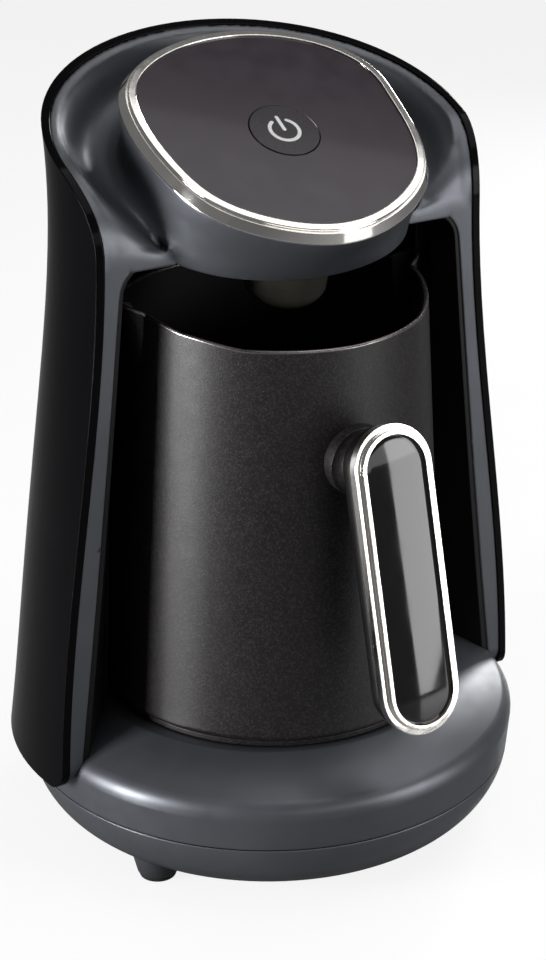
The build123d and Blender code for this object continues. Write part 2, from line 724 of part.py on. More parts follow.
with BuildPart() as buzzer:
    add(pillars(panel_plane(-BOARD_DROP), [(-16.5, BUTTON_V)], 5.0, 4.0))
    add(pillars(panel_plane(-BOARD_DROP + 4.0), [(-16.5, BUTTON_V)], 1.2, -2.0), mode=Mode.SUBTRACT)
save(buzzer, "buzzer")

with BuildPart() as status_leds:
    with BuildSketch(panel_plane(-BOARD_DROP)):
        with Locations((-6.5, BUTTON_V), (6.5, BUTTON_V)):
            Rectangle(2.8, 3.5)
    extrude(amount=1.9)
save(status_leds, "status_leds")

save(block(panel_plane(-BOARD_DROP - BOARD_T), (0, 4), 14.0, 5.0, -3.0), "ribbon_plug")

save(ribbon(0), "ribbon_cable")

# ---- control panel ---------------------------------------------------------------------------
with BuildPart() as top_panel:
    with BuildSketch(panel_plane(-PANEL_T)):
        add(outline(PANEL_HALF))
        with Locations((0, BUTTON_V)):
            Circle(BUTTON_R + FIT, mode=Mode.SUBTRACT)
    extrude(amount=PANEL_T)
save(top_panel, "top_panel")

with BuildPart() as chrome_ring:
    with BuildSketch(panel_plane(-RING_DROP)):
        add(outline(PANEL_HALF, RING_W))
    with BuildSketch(panel_plane(-RING_LEDGE_DROP)):
        add(outline(PANEL_HALF, RING_LEDGE_W))
    loft()
    with BuildSketch(panel_plane(-RING_LEDGE_DROP)):
        add(outline(PANEL_HALF, RING_FACE_W))
    extrude(amount=RING_LEDGE_DROP + RING_PROUD)
    with BuildSketch(panel_plane(-RING_DROP)):
        add(outline(PANEL_HALF))
    extrude(amount=10, mode=Mode.SUBTRACT)
save(chrome_ring, "chrome_ring")

with BuildPart() as power_button:
    add(pillars(panel_plane(0.2), [(0, BUTTON_V)], BUTTON_R, -RING_DROP - FIT - 0.2))
    add(pillars(panel_plane(-RING_DROP - FIT), [(0, BUTTON_V)], BUTTON_R + 1.6, -1.2))
    add(pillars(panel_plane(-RING_DROP - FIT - 1.2), [(0, BUTTON_V)], 3.0, STEM_END + RING_DROP + FIT + 1.2))
save(power_button, "power_button")

# ---- pot -------------------------------------------------------------------------------------
pot_outer = pot_solid(0)

with BuildPart() as pot_body:
    add(pot_outer)
    add(pot_solid(POT_T), mode=Mode.SUBTRACT)
    with BuildSketch(POT_FRONT):
        with BuildLine():
            left = [(-x, z) for x, z in reversed(RIM_HALF)]
            rim = Spline(*left, (0, POT_RIM_Z), *RIM_HALF)
            far_x, far_z = RIM_HALF[-1][0] + 6, RIM_HALF[-1][1]
            Polyline(rim @ 1, (far_x, far_z), (far_x, 0), (-far_x, 0), (-far_x, far_z), rim @ 0)
        make_face()
    extrude(amount=100, both=True, mode=Mode.INTERSECT)
save(pot_body, "pot_body")

with BuildPart() as pot_base:
    add(pillars(pot_level(SEAT_Z + FIT), [(0, 0)], POT_BASE_R, POT_BOTTOM_Z - SEAT_Z - FIT))
save(pot_base, "pot_base")

with BuildPart() as grip_core:
    with BuildSketch(grip_plane(-FRAME_D)):
        SlotCenterToCenter(GRIP_LENGTH, 2 * (INSERT_R + FRAME_W - 1.2), rotation=90)
    extrude(amount=-CORE_D)
    fillet(faces().sort_by(Axis.Y)[-1].edges(), 4.0)
    seat_depth = SCREW_SEAT - CORE_D
    add(pillars(grip_plane(-FRAME_D), STUB_SCREW, SCREW_HEAD_R + FIT, seat_depth), mode=Mode.SUBTRACT)
    add(pillars(grip_plane(-FRAME_D), STUB_SCREW, SCREW_R, -CORE_D), mode=Mode.SUBTRACT)
save(grip_core, "grip_core")

with BuildPart() as grip_frame:
    with BuildSketch(grip_plane(-FRAME_D)):
        SlotCenterToCenter(GRIP_LENGTH, 2 * (INSERT_R + FRAME_W), rotation=90)
    extrude(amount=FRAME_D - 1.2)
    with BuildSketch(grip_plane(-1.2)):
        SlotCenterToCenter(GRIP_LENGTH, 2 * (INSERT_R + 1.2), rotation=90)
    extrude(amount=1.6)
    with BuildSketch(grip_plane(-INSERT_T)):
        SlotCenterToCenter(GRIP_LENGTH, 2 * INSERT_R, rotation=90)
    extrude(amount=10, mode=Mode.SUBTRACT)
save(grip_frame, "grip_frame")

with BuildPart() as grip_insert:
    with BuildSketch(grip_plane(-INSERT_T)):
        SlotCenterToCenter(GRIP_LENGTH, 2 * INSERT_R, rotation=90)
    extrude(amount=INSERT_T)
save(grip_insert, "grip_insert")

with BuildPart() as handle_stub:
    with BuildSketch(Plane(origin=(0, AXIS_Y + POT_Y, STUB_Z), x_dir=(0, -1, 0), z_dir=(1, 0, 0))):
        with BuildLine():
            Polyline((40, 0), (40, STUB_R + STUB_FLARE), (52, STUB_R + STUB_FLARE))
            ThreePointArc((52, STUB_R + STUB_FLARE), (53.6, STUB_R + 0.25 * STUB_FLARE), (57, STUB_R))
            Polyline((57, STUB_R), (80, STUB_R), (80, 0), (40, 0))
        make_face()
    revolve(axis=Axis((0, AXIS_Y + POT_Y, STUB_Z), (0, 1, 0)))
    add(pot_outer, mode=Mode.SUBTRACT)
    split(bisect_by=grip_plane(-FRAME_D - CORE_D), keep=Keep.BOTTOM)
    add(pillars(grip_plane(-FRAME_D - CORE_D), STUB_SCREW, SCREW_R, -8.0), mode=Mode.SUBTRACT)
save(handle_stub, "handle_stub")

save(screws(grip_plane(-FRAME_D - CORE_D + SCREW_SEAT), STUB_SCREW, -10.0), "handle_screw")
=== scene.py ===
"""Electric Turkish coffee maker: finishes, fine pieces, light and camera round the fixed solids.

Metres, +Z up, the table is z = 0 and the front is -Y. Sizes inside the classes are millimetres,
measured from the axis of the round base, as in the part's own source.
"""

import logging
import math
from abc import ABC, abstractmethod
from dataclasses import dataclass
from enum import Enum
from typing import Any, Sequence

import bmesh
import bpy
import numpy as np
from mathutils import Matrix, Vector
from mathutils.bvhtree import BVHTree
from mathutils.kdtree import KDTree


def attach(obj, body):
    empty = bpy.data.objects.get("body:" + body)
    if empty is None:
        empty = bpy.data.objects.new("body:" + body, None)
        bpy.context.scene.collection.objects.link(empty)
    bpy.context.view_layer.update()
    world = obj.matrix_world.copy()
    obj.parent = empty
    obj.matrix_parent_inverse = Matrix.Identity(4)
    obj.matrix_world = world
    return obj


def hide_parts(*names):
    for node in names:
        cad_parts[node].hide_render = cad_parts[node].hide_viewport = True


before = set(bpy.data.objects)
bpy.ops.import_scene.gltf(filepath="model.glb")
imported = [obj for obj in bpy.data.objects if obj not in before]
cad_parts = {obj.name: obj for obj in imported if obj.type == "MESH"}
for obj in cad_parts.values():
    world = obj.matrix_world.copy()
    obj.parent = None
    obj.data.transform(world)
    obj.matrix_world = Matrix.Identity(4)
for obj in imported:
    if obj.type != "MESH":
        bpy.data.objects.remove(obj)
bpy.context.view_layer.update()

log = logging.getLogger("coffee_maker")

MM = 0.001
AXIS_Y = 5.025  # the base axis stands this far behind the frame's origin
POT_Y = -3.4  # the pot's axis, from the base axis
PANEL_Z, PANEL_TILT = 232.0, 28.6
UNDER_Z, UNDER_TILT = 198.1, 14.6

Socket = bpy.types.NodeSocket
Point = tuple[float, float]
Triple = tuple[float, float, float]
Grain = tuple[Point | None, float]
Plain = tuple[tuple[str, float], ...]


class Body(Enum):
    """The moving bodies that a piece can ride on."""

    MACHINE = "machine"
    BUTTON = "button"
    POT = "pot"


class Slot(Enum):
    """The record's material slots, passed with the extra pieces but not used to give them a finish.
    """

    GREY_PLASTIC = "grey_plastic"
    BLACK_GLOSS = "black_gloss"
    POT_COATING = "pot_coating"
    SCREW_STEEL = "screw_steel"
    RUBBER = "rubber"
    LED_CLEAR = "led_clear"


# ---- colour and shader nodes -----------------------------------------------------------------
def linear(code: str) -> tuple[float, float, float, float]:
    """Turns an sRGB hex colour into the linear colour that shaders use.

    Args:
        code: colour as "#rrggbb".

    Returns:
        Linear red, green, blue and an alpha of 1.
    """
    parts = [int(code[i : i + 2], 16) / 255 for i in (1, 3, 5)]
    red, green, blue = (p / 12.92 if p <= 0.04045 else ((p + 0.055) / 1.055) ** 2.4 for p in parts)
    return red, green, blue, 1.0


def add_node(
    tree: bpy.types.NodeTree,
    kind: str,
    settings: dict[str, Any] | None = None,
    inputs: dict[str | int, Any] | None = None,
) -> bpy.types.Node:
    """Adds one shader node with its settings and links.

    Args:
        tree: node tree that gets the node.
        kind: Blender's name of the node type, without "ShaderNode".
        settings: property names and values.
        inputs: socket names or numbers, each with a value or with the socket that feeds it.

    Returns:
        The new node.
    """
    made = tree.nodes.new("ShaderNode" + kind)
    for name, value in (settings or {}).items():
        setattr(made, name, value)
    for name, value in (inputs or {}).items():
        if isinstance(value, Socket):
            tree.links.new(value, made.inputs[name])
        else:
            made.inputs[name].default_value = value
    return made


class Recipe:
    """A new material under work: its principled shader, and coordinates in real millimetres."""

    def __init__(self, name: str) -> None:
        """Starts an empty material.

        Args:
            name: the material's name.
        """
        self.material = bpy.data.materials.new(name)
        self.material.use_nodes = True
        self.tree = self.material.node_tree
        self.tree.nodes.clear()
        place = add_node(self.tree, "TexCoord").outputs["Object"]
        scaled = add_node(
            self.tree, "VectorMath", {"operation": "SCALE"}, {0: place, "Scale": 1 / MM}
        )
        self.mm: Socket = scaled.outputs[0]

    def vector(self, operation: str, *values: Any) -> bpy.types.Node:
        """Works on vectors.

        Args:
            operation: Blender's name of what is done.
            values: the vectors or sockets that it is done to.

        Returns:
            The node.
        """
        return add_node(self.tree, "VectorMath", {"operation": operation}, dict(enumerate(values)))

    def cloud(self, spacing: float, detail: float = 2.0, stretch: Triple = (1, 1, 1)) -> Socket:
        """Soft irregular pattern.

        Args:
            spacing: size of its patches in mm.
            detail: octaves of finer patches.
            stretch: how much denser the pattern is along x, y and z.

        Returns:
            Its value from 0 to 1.
        """
        where = self.vector("MULTIPLY", self.mm, stretch)
        noise = add_node(
            self.tree, "TexNoise",
            inputs={"Vector": where.outputs[0], "Scale": 1 / spacing, "Detail": detail},
        )  # fmt: skip
        return noise.outputs[0]

    def flakes(self, spacing: float) -> bpy.types.Node:
        """Small facets, such as metal flakes in a lacquer.

        Args:
            spacing: size of a flake in mm.

        Returns:
            The cell pattern's node, with a random colour for each flake.
        """
        return add_node(self.tree, "TexVoronoi", inputs={"Vector": self.mm, "Scale": 1 / spacing})

    def level(self, centre: Point) -> Socket:
        """Way from an upright axis to the surface.

        Args:
            centre: the axis, x and y in mm in the frame.

        Returns:
            The level vector in mm.
        """
        moved = self.vector("SUBTRACT", self.mm, (*centre, 0))
        return self.vector("MULTIPLY", moved.outputs[0], (1, 1, 0)).outputs[0]

    def turned(self, centre: Point, spacing: float) -> Socket:
        """Fine rings round an upright axis, as a lathe leaves them.

        Args:
            centre: the axis, x and y in mm in the frame.
            spacing: distance between tool marks in mm.

        Returns:
            Their value from 0 to 1.
        """
        away = self.vector("LENGTH", self.level(centre))
        return add_node(
            self.tree, "TexNoise", {"noise_dimensions": "1D"},
            {"W": away.outputs["Value"], "Scale": 1 / spacing, "Detail": 2.0},
        ).outputs[0]  # fmt: skip

    def spread(self, value: Socket, low: float, high: float, cut: Point = (0.3, 0.7)) -> Socket:
        """Stretches a pattern over a range.

        Args:
            value: the pattern.
            low: result at the lower cut.
            high: result at the upper cut.
            cut: the pattern's values that give low and high.

        Returns:
            The new value.
        """
        return add_node(
            self.tree, "MapRange", inputs={"Value": value, 1: cut[0], 2: cut[1], 3: low, 4: high}
        ).outputs[0]

    def tint(self, share: Socket, first: str | Socket, second: str | Socket) -> Socket:
        """Blends two colours by a pattern.

        Args:
            share: 0 gives the first colour and 1 the second.
            first: hex colour or colour socket.
            second: hex colour or colour socket.

        Returns:
            The blended colour.
        """
        ends = [end if isinstance(end, Socket) else linear(end) for end in (first, second)]
        return add_node(
            self.tree, "Mix", {"data_type": "RGBA"}, {0: share, 6: ends[0], 7: ends[1]}
        ).outputs[2]

    def eased(self, radius: float) -> Socket:
        """Surface direction with its sharp edges rounded, which gives them their bright line.

        Args:
            radius: the edge's radius in mm.

        Returns:
            The rounded surface direction.
        """
        return add_node(self.tree, "Bevel", {"samples": 6}, {"Radius": radius * MM}).outputs[0]

    def worn(self, radius: float) -> Socket:
        """Share of wear, from 0 on plain faces to 1 along outer and inner edges.

        Args:
            radius: how far the wear reaches from an edge, in mm.

        Returns:
            The share.
        """
        plain = add_node(self.tree, "NewGeometry").outputs["Normal"]
        same = self.vector("DOT_PRODUCT", self.eased(radius), plain)
        return self.spread(same.outputs["Value"], 1.0, 0.0, (0.8, 0.99))

    def relief(self, height: Socket, depth: float, normal: Socket | None = None) -> Socket:
        """Raises and lowers the surface by a pattern.

        Args:
            height: the pattern.
            depth: height of the relief in mm.
            normal: surface direction to start from.

        Returns:
            The new surface direction.
        """
        given = {"Normal": normal} if normal else {}
        return add_node(
            self.tree, "Bump",
            inputs={"Strength": 1.0, "Distance": depth * MM, "Height": height, **given},
        ).outputs[0]

    def finish(self, **inputs: Any) -> bpy.types.Material:
        """Puts the principled shader in place.

        Args:
            inputs: its sockets, with an underscore for a space, as values or sockets.

        Returns:
            The finished material.
        """
        named = {name.replace("_", " "): value for name, value in inputs.items()}
        shader = add_node(self.tree, "BsdfPrincipled", inputs=named)
        add_node(self.tree, "OutputMaterial", inputs={"Surface": shader.outputs[0]})
        return self.material


# ---- finishes --------------------------------------------------------------------------------
class Finish(ABC):
    """A real material and the way that its surface was made."""

    @abstractmethod
    def inputs(self, mix: Recipe) -> dict[str, Any]:
        """Works out the inputs of the principled shader.

        Args:
            mix: the material under work.

        Returns:
            The inputs, by the socket's name with an underscore for a space.
        """

    def coat(self, piece: bpy.types.Object) -> None:
        """Gives the whole piece this finish.

        Args:
            piece: the piece.
        """
        title = type(self).__name__
        made = bpy.data.materials.get(title)
        if made is None:
            mix = Recipe(title)
            made = mix.finish(**self.inputs(mix))
        piece.data.materials.clear()
        piece.data.materials.append(made)


@dataclass(frozen=True)
class CloudedFinish(Finish):
    """A material whose colour and gloss both drift with one soft pattern.

    A pattern is given by the size of its patches in mm and its octaves. The grain has a pattern of
    its own, or follows the first one, and a depth in mm. An edge is given by its radius in mm, and
    plain holds the shader's other values.
    """

    first: str = "#808080"
    second: str = "#808080"
    pattern: Point = (4.0, 4.0)
    rough: Point = (0.3, 0.5)
    grain: Grain = (None, 0.01)
    edge: float = 0.0
    plain: Plain = ()

    def inputs(self, mix: Recipe) -> dict[str, Any]:
        """Works out the shader's inputs."""
        drift = mix.cloud(*self.pattern)
        patch, depth = self.grain
        height = mix.cloud(*patch) if patch else drift
        return dict(
            Base_Color=mix.tint(drift, self.first, self.second),
            Roughness=mix.spread(drift, *self.rough),
            Normal=mix.relief(height, depth, mix.eased(self.edge) if self.edge else None),
            **dict(self.plain),
        )


@dataclass(frozen=True)
class SlateLacquer(Finish):
    """Satin metallic lacquer, sprayed on moulded ABS."""

    # Aluminium flakes in grey lacquer: pale where the light comes back square, almost black where
    # it doesn't, with a soft clear layer over them. The deep hollows get painted shade: an
    # occlusion mask blends their colour toward near black. The flakes are about 0.05 mm and are
    # drawn ten times as coarse, so that they show as a faint grain.
    dark: str = "#4b4d52"
    light: str = "#606369"
    rubbed: str = "#8f9297"
    # near-black painted shade for the hollows, and how far the occlusion mask looks for them, in mm
    hollow_painted_shade: str = "#141416"
    shade_reach: float = 28.0
    flake: float = 0.5
    metallic: float = 0.6

    def inputs(self, mix: Recipe) -> dict[str, Any]:
        """Works out the shader's inputs."""
        flakes = mix.flakes(self.flake)
        base = mix.tint(mix.cloud(34.0), self.dark, self.light)
        edge = mix.spread(mix.worn(0.8), 0.0, 0.35, (0.0, 1.0))
        # painted shade: ambient occlusion darkens the colour in hollows and crevices
        occluded = add_node(
            mix.tree, "AmbientOcclusion", {"samples": 8}, {"Distance": self.shade_reach * MM}
        )
        unshaded_share = mix.spread(occluded.outputs["AO"], 0.0, 1.0, (0.1, 0.62))
        peel = mix.relief(mix.cloud(1.3, 1.0), 0.004, mix.eased(0.9))
        grain = mix.relief(flakes.outputs["Color"], 0.006, peel)
        return dict(
            # painted shade is blended in where the occlusion mask is low, over the lacquer and its
            # rubbed edges
            Base_Color=mix.tint(unshaded_share, self.hollow_painted_shade, mix.tint(edge, base, self.rubbed)),
            Metallic=self.metallic,
            Roughness=mix.spread(mix.cloud(7.0, 3.0), 0.37, 0.45),
            Normal=grain,
            Coat_Weight=0.12,
            Coat_Roughness=0.2,
            Coat_Normal=peel,
        )


@dataclass(frozen=True)
class PianoBlackAbs(Finish):
    """Gloss black ABS from a polished mould."""

    # Deep black with thin hard highlights on its edges, a very slight waviness of the mould and
    # a trace of handling that only shows in the gloss.
    body: str = "#050405"
    dusty: str = "#0d0c0e"

    def inputs(self, mix: Recipe) -> dict[str, Any]:
        """Works out the shader's inputs."""
        wave = mix.relief(mix.cloud(9.0, 1.0), 0.006, mix.eased(0.7))
        return dict(
            Base_Color=mix.tint(mix.cloud(60.0, 4.0), self.body, self.dusty),
            Roughness=mix.spread(mix.cloud(14.0, 5.0), 0.07, 0.13),
            IOR=1.53,
            Specular_IOR_Level=0.05,
            Normal=wave,
        )


@dataclass(frozen=True)
class PolishedInsertAbs(CloudedFinish):
    """Black ABS insert of the handle, polished and clear-coated."""

    # A deeper gloss than the shell's, which shows a whole lamp as a soft grey field.
    first: str = "#0b090b"
    second: str = "#141214"
    pattern: Point = (9.0, 5.0)
    rough: Point = (0.05, 0.1)
    grain: Grain = ((8.0, 1.0), 0.002)
    edge: float = 0.25
    plain: Plain = (
        ("IOR", 1.53), ("Specular_IOR_Level", 0.5), ("Coat_Weight", 0.3), ("Coat_Roughness", 0.04),
    )  # fmt: skip


@dataclass(frozen=True)
class MattBlackAbs(Finish):
    """Black ABS from a spark-eroded mould."""

    # A fine even grain that holds no clear reflection, a little paler on its edges. The grain of
    # about 0.1 mm is drawn at 0.45 mm, so that it shows.
    body: str = "#0b0a0b"
    worn_edge: str = "#161516"
    grain: float = 0.45

    def inputs(self, mix: Recipe) -> dict[str, Any]:
        """Works out the shader's inputs."""
        return dict(
            Base_Color=mix.tint(mix.worn(0.5), self.body, self.worn_edge),
            Roughness=mix.spread(mix.cloud(11.0, 3.0), 0.36, 0.48),
            IOR=1.53,
            Specular_IOR_Level=0.22,
            Normal=mix.relief(mix.cloud(self.grain), 0.02, mix.eased(0.5)),
        )


@dataclass(frozen=True)
class ChromePlate(CloudedFinish):
    """Bright chrome plated on moulded plastic."""

    # A slightly warm mirror whose reflections wander a little with the moulding under the plate,
    # with a thin haze from wiping.
    first: str = "#fbf8f4"
    second: str = "#ece8e2"
    pattern: Point = (6.0, 4.0)
    rough: Point = (0.05, 0.11)
    grain: Grain = ((4.0, 1.0), 0.003)
    edge: float = 0.45
    plain: Plain = (("Metallic", 1.0),)


@dataclass(frozen=True)
class TintedAcrylic(Finish):
    """Acrylic window, printed dark aubergine on its back."""

    # The colour lies under a clear glossy face: deep and even, with a soft reflection of the room
    # over it and the faintest of wiping marks.
    print_dark: str = "#2a2029"
    print_light: str = "#30262f"

    def inputs(self, mix: Recipe) -> dict[str, Any]:
        """Works out the shader's inputs."""
        wiped = mix.cloud(1.1, 3.0, (0.12, 1.0, 1.0))
        return dict(
            Base_Color=mix.tint(mix.cloud(26.0), self.print_dark, self.print_light),
            Roughness=mix.spread(mix.cloud(8.0, 5.0), 0.16, 0.24),
            IOR=1.49,
            Specular_IOR_Level=0.32,
            Normal=mix.relief(wiped, 0.0012, mix.eased(0.35)),
            Coat_Weight=0.2,
            Coat_Roughness=0.05,
            Coat_IOR=1.49,
        )


@dataclass(frozen=True)
class ButtonAcrylic(CloudedFinish):
    """Hard-coated cap of the power button."""

    # As dark as the window round it and a shade duller, polished in its middle by fingers.
    first: str = "#221c21"
    second: str = "#2a2429"
    pattern: Point = (5.0, 4.0)
    rough: Point = (0.2, 0.32)
    grain: Grain = ((0.5, 2.0), 0.004)
    edge: float = 0.4
    plain: Plain = (
        ("IOR", 1.49), ("Specular_IOR_Level", 0.3), ("Coat_Weight", 0.15), ("Coat_Roughness", 0.08),
    )  # fmt: skip


@dataclass(frozen=True)
class WhiteLightWindow(CloudedFinish):
    """Milky polycarbonate light window of the power symbol."""

    # Plain soft white, a little brighter in its middle, neither glossy nor chalky.
    first: str = "#f4f3f2"
    second: str = "#dedcdc"
    pattern: Point = (1.6, 2.0)
    rough: Point = (0.3, 0.42)
    plain: Plain = (("Subsurface_Weight", 0.1), ("Subsurface_Scale", 0.0006))


@dataclass(frozen=True)
class SmokedPolycarbonate(CloudedFinish):
    """Infrared window moulded in smoked polycarbonate."""

    # Dark olive-grey and only just see-through, with a satin skin.
    first: str = "#3f3d36"
    second: str = "#37342e"
    pattern: Point = (9.0, 2.0)
    rough: Point = (0.22, 0.34)
    grain: Grain = ((1.2, 2.0), 0.006)
    edge: float = 0.6
    plain: Plain = (("IOR", 1.58), ("Specular_IOR_Level", 0.3), ("Transmission_Weight", 0.15))


@dataclass(frozen=True)
class PotLacquer(Finish):
    """Baked brown-black metallic coating on drawn steel, plain black non-stick inside."""

    # Outside, fine bronze and silver flakes glitter in a dark film; they are about 0.05 mm and
    # are drawn ten times as coarse. Inside, the coating is dull black and the rim is rubbed paler.
    film: str = "#0e0b0c"
    film_light: str = "#161213"
    flake_light: str = "#6f6567"
    inside: str = "#070607"
    flake: float = 0.5
    middle: Point = (0.0, AXIS_Y + POT_Y)

    def inputs(self, mix: Recipe) -> dict[str, Any]:
        """Works out the shader's inputs."""
        tree = mix.tree
        flakes = mix.flakes(self.flake)
        glint = mix.spread(flakes.outputs["Color"], 0.0, 0.14, (0.5, 1.0))
        film = mix.tint(mix.cloud(20.0, 4.0), self.film, self.film_light)
        outside = mix.tint(glint, film, self.flake_light)
        way = mix.vector("NORMALIZE", mix.level(self.middle))
        facing = add_node(tree, "NewGeometry").outputs["Normal"]
        outward = mix.vector("DOT_PRODUCT", way.outputs[0], facing)
        share = mix.spread(outward.outputs["Value"], 1.0, 0.0, (-0.2, -0.05))
        rough_out = mix.spread(mix.cloud(5.0, 3.0), 0.42, 0.48)
        rough = add_node(tree, "Mix", {"data_type": "FLOAT"}, {0: share, 2: rough_out, 3: 0.62})
        skin = mix.relief(mix.cloud(0.7, 2.0), 0.012, mix.eased(0.5))
        return dict(
            Base_Color=mix.tint(share, outside, self.inside),
            Roughness=rough.outputs[0],
            Specular_IOR_Level=0.42,
            Normal=mix.relief(flakes.outputs["Color"], 0.02, skin),
        )


@dataclass(frozen=True)
class RubbedRim(CloudedFinish):
    """The pot's rolled rim, where the coating is polished by use."""

    # A thin pale metal line that breaks up slightly along its length.
    first: str = "#a29b99"
    second: str = "#5b5556"
    pattern: Point = (3.0, 4.0)
    rough: Point = (0.22, 0.36)
    grain: Grain = ((0.8, 2.0), 0.01)
    plain: Plain = (("Metallic", 0.9),)


@dataclass(frozen=True)
class TurnedSteel(Finish):
    """Stainless steel, faced on a lathe."""

    # Fine rings from the tool, which draw the light out into a fan.
    metal: str = "#b9b8b6"
    groove: str = "#8f8e8c"

    def inputs(self, mix: Recipe) -> dict[str, Any]:
        """Works out the shader's inputs."""
        rings = mix.turned((0.0, AXIS_Y + POT_Y), 0.5)
        return dict(
            Base_Color=mix.tint(rings, self.metal, self.groove),
            Metallic=1.0,
            Roughness=mix.spread(rings, 0.24, 0.4),
            Normal=mix.relief(rings, 0.02, mix.eased(0.4)),
        )


@dataclass(frozen=True)
class CastAluminium(Finish):
    """Die-cast aluminium, faced on top."""

    # Pale grey and slightly cloudy from heat, with wide tool rings.
    metal: str = "#a9a9a8"
    heated: str = "#85827d"

    def inputs(self, mix: Recipe) -> dict[str, Any]:
        """Works out the shader's inputs."""
        rings = mix.turned((0.0, AXIS_Y), 0.9)
        return dict(
            Base_Color=mix.tint(mix.cloud(18.0, 4.0), self.metal, self.heated),
            Metallic=1.0,
            Roughness=mix.spread(mix.cloud(6.0, 3.0), 0.36, 0.52),
            Normal=mix.relief(rings, 0.03, mix.eased(0.4)),
        )


@dataclass(frozen=True)
class ZincScrewSteel(CloudedFinish):
    """Zinc-plated screws."""

    # Cool grey with a faint yellow bloom in places.
    first: str = "#a3a7ab"
    second: str = "#97917f"
    pattern: Point = (1.8, 4.0)
    rough: Point = (0.25, 0.42)
    grain: Grain = ((0.5, 2.0), 0.01)
    edge: float = 0.2
    plain: Plain = (("Metallic", 1.0),)


@dataclass(frozen=True)
class MouldedRubber(CloudedFinish):
    """Black rubber from a dull mould."""

    # Dark grey, quite matt, with a powdery bloom.
    first: str = "#161616"
    second: str = "#272727"
    pattern: Point = (4.0, 5.0)
    rough: Point = (0.62, 0.8)
    grain: Grain = ((0.6, 2.0), 0.03)
    edge: float = 0.4
    plain: Plain = (("Specular_IOR_Level", 0.3),)


@dataclass(frozen=True)
class RedSilicone(CloudedFinish):
    """Heat-proof silicone seal."""

    # Brick red, waxy and slightly see-through at its lip.
    first: str = "#8a2b20"
    second: str = "#6f241c"
    pattern: Point = (6.0, 3.0)
    rough: Point = (0.38, 0.5)
    grain: Grain = ((0.8, 2.0), 0.01)
    edge: float = 0.3
    plain: Plain = (("Subsurface_Weight", 0.1), ("Subsurface_Scale", 0.001))


@dataclass(frozen=True)
class SolderMask(Finish):
    """Green circuit board with tracks under its mask."""

    # Tracks of copper show as a slightly paler green net, 1.2 mm apart.
    mask: str = "#12432a"
    track: str = "#1f6a40"
    pitch: float = 1.2

    def inputs(self, mix: Recipe) -> dict[str, Any]:
        """Works out the shader's inputs."""
        net = add_node(
            mix.tree, "TexVoronoi", {"distance": "CHEBYCHEV", "feature": "F1"},
            {"Vector": mix.mm, "Scale": 1 / (3 * self.pitch)},
        )  # fmt: skip
        tracks = mix.spread(net.outputs["Distance"], 0.0, 1.0, (0.42, 0.5))
        return dict(
            Base_Color=mix.tint(tracks, self.mask, self.track),
            Roughness=mix.spread(mix.cloud(5.0), 0.28, 0.4),
            Normal=mix.relief(tracks, 0.03),
            Coat_Weight=0.4,
            Coat_Roughness=0.2,
        )


@dataclass(frozen=True)
class BlackEpoxy(CloudedFinish):
    """Black moulded component body."""

    # Dull with a fine mould grain and rounded edges.
    first: str = "#151515"
    second: str = "#222222"
    pattern: Point = (3.0, 4.0)
    rough: Point = (0.45, 0.6)
    grain: Grain = ((0.4, 2.0), 0.01)
    edge: float = 0.25


@dataclass(frozen=True)
class WhiteNylon(BlackEpoxy):
    """Off-white moulded component body."""

    # The same dull grain as the black bodies have.
    first: str = "#d6d4cd"
    second: str = "#c5c2b9"


@dataclass(frozen=True)
class ClearLed(CloudedFinish):
    """Clear epoxy of the status lamps."""

    # Glassy, with a slightly milky core.
    first: str = "#e9eef0"
    second: str = "#cfd6d8"
    pattern: Point = (1.0, 2.0)
    rough: Point = (0.08, 0.16)
    grain: Grain = (None, 0.005)
    plain: Plain = (("Transmission_Weight", 0.6), ("IOR", 1.52))


@dataclass(frozen=True)
class RibbonVinyl(Finish):
    """Grey vinyl of a flat cable."""

    # Ribbed across its width by its cores, 1.27 mm apart.
    rib: str = "#8c8f93"
    groove: str = "#696c70"
    pitch: float = 1.27

    def inputs(self, mix: Recipe) -> dict[str, Any]:
        """Works out the shader's inputs."""
        wave = add_node(
            mix.tree, "TexWave", {"bands_direction": "X"},
            {"Vector": mix.mm, "Scale": 1 / (2 * self.pitch)},
        )  # fmt: skip
        return dict(
            Base_Color=mix.tint(wave.outputs["Fac"], self.groove, self.rib),
            Roughness=mix.spread(mix.cloud(4.0), 0.4, 0.5),
            Normal=mix.relief(wave.outputs["Fac"], 0.1),
        )


SLATE, PIANO, MATT, CHROME = SlateLacquer(), PianoBlackAbs(), MattBlackAbs(), ChromePlate()
BLACK_EPOXY, WHITE_NYLON = BlackEpoxy(), WhiteNylon()


# ---- mesh helpers ----------------------------------------------------------------------------
def tipped(height: float, degrees: float, lift: float = 0.0) -> Matrix:
    """Plane that is tipped down to the front.

    Args:
        height: its height on the base axis in mm.
        degrees: its tilt.
        lift: distance that it is moved along its own upward direction, in mm.

    Returns:
        Matrix from the plane's own millimetres to the frame's metres.
    """
    tilt = math.radians(degrees)
    y, z = AXIS_Y - lift * math.sin(tilt), height + lift * math.cos(tilt)
    return (
        Matrix.Translation((0, y * MM, z * MM))
        @ Matrix.Rotation(tilt, 4, "X")
        @ Matrix.Scale(MM, 4)
    )


def upright(x: float, y: float, z: float) -> Matrix:
    """Matrix from millimetres round a point to the frame's metres.

    Args:
        x: the point's x in mm.
        y: its y in mm from the base axis.
        z: its height in mm.

    Returns:
        The matrix.
    """
    return Matrix.Translation((x * MM, (AXIS_Y + y) * MM, z * MM)) @ Matrix.Scale(MM, 4)


def placed(name: str, data: bpy.types.ID) -> bpy.types.Object:
    """Makes an object and links it to the scene.

    Args:
        name: its name.
        data: its mesh, lamp or camera.

    Returns:
        The object.
    """
    made = bpy.data.objects.new(name, data)
    bpy.context.scene.collection.objects.link(made)
    return made


def heading(azimuth: float, elevation: float) -> Vector:
    """Direction from the object to a place round it.

    Args:
        azimuth: degrees from the front, to the right.
        elevation: degrees above the table.

    Returns:
        The direction.
    """
    a, e = math.radians(azimuth), math.radians(elevation)
    return Vector((math.sin(a) * math.cos(e), -math.cos(a) * math.cos(e), math.sin(e)))


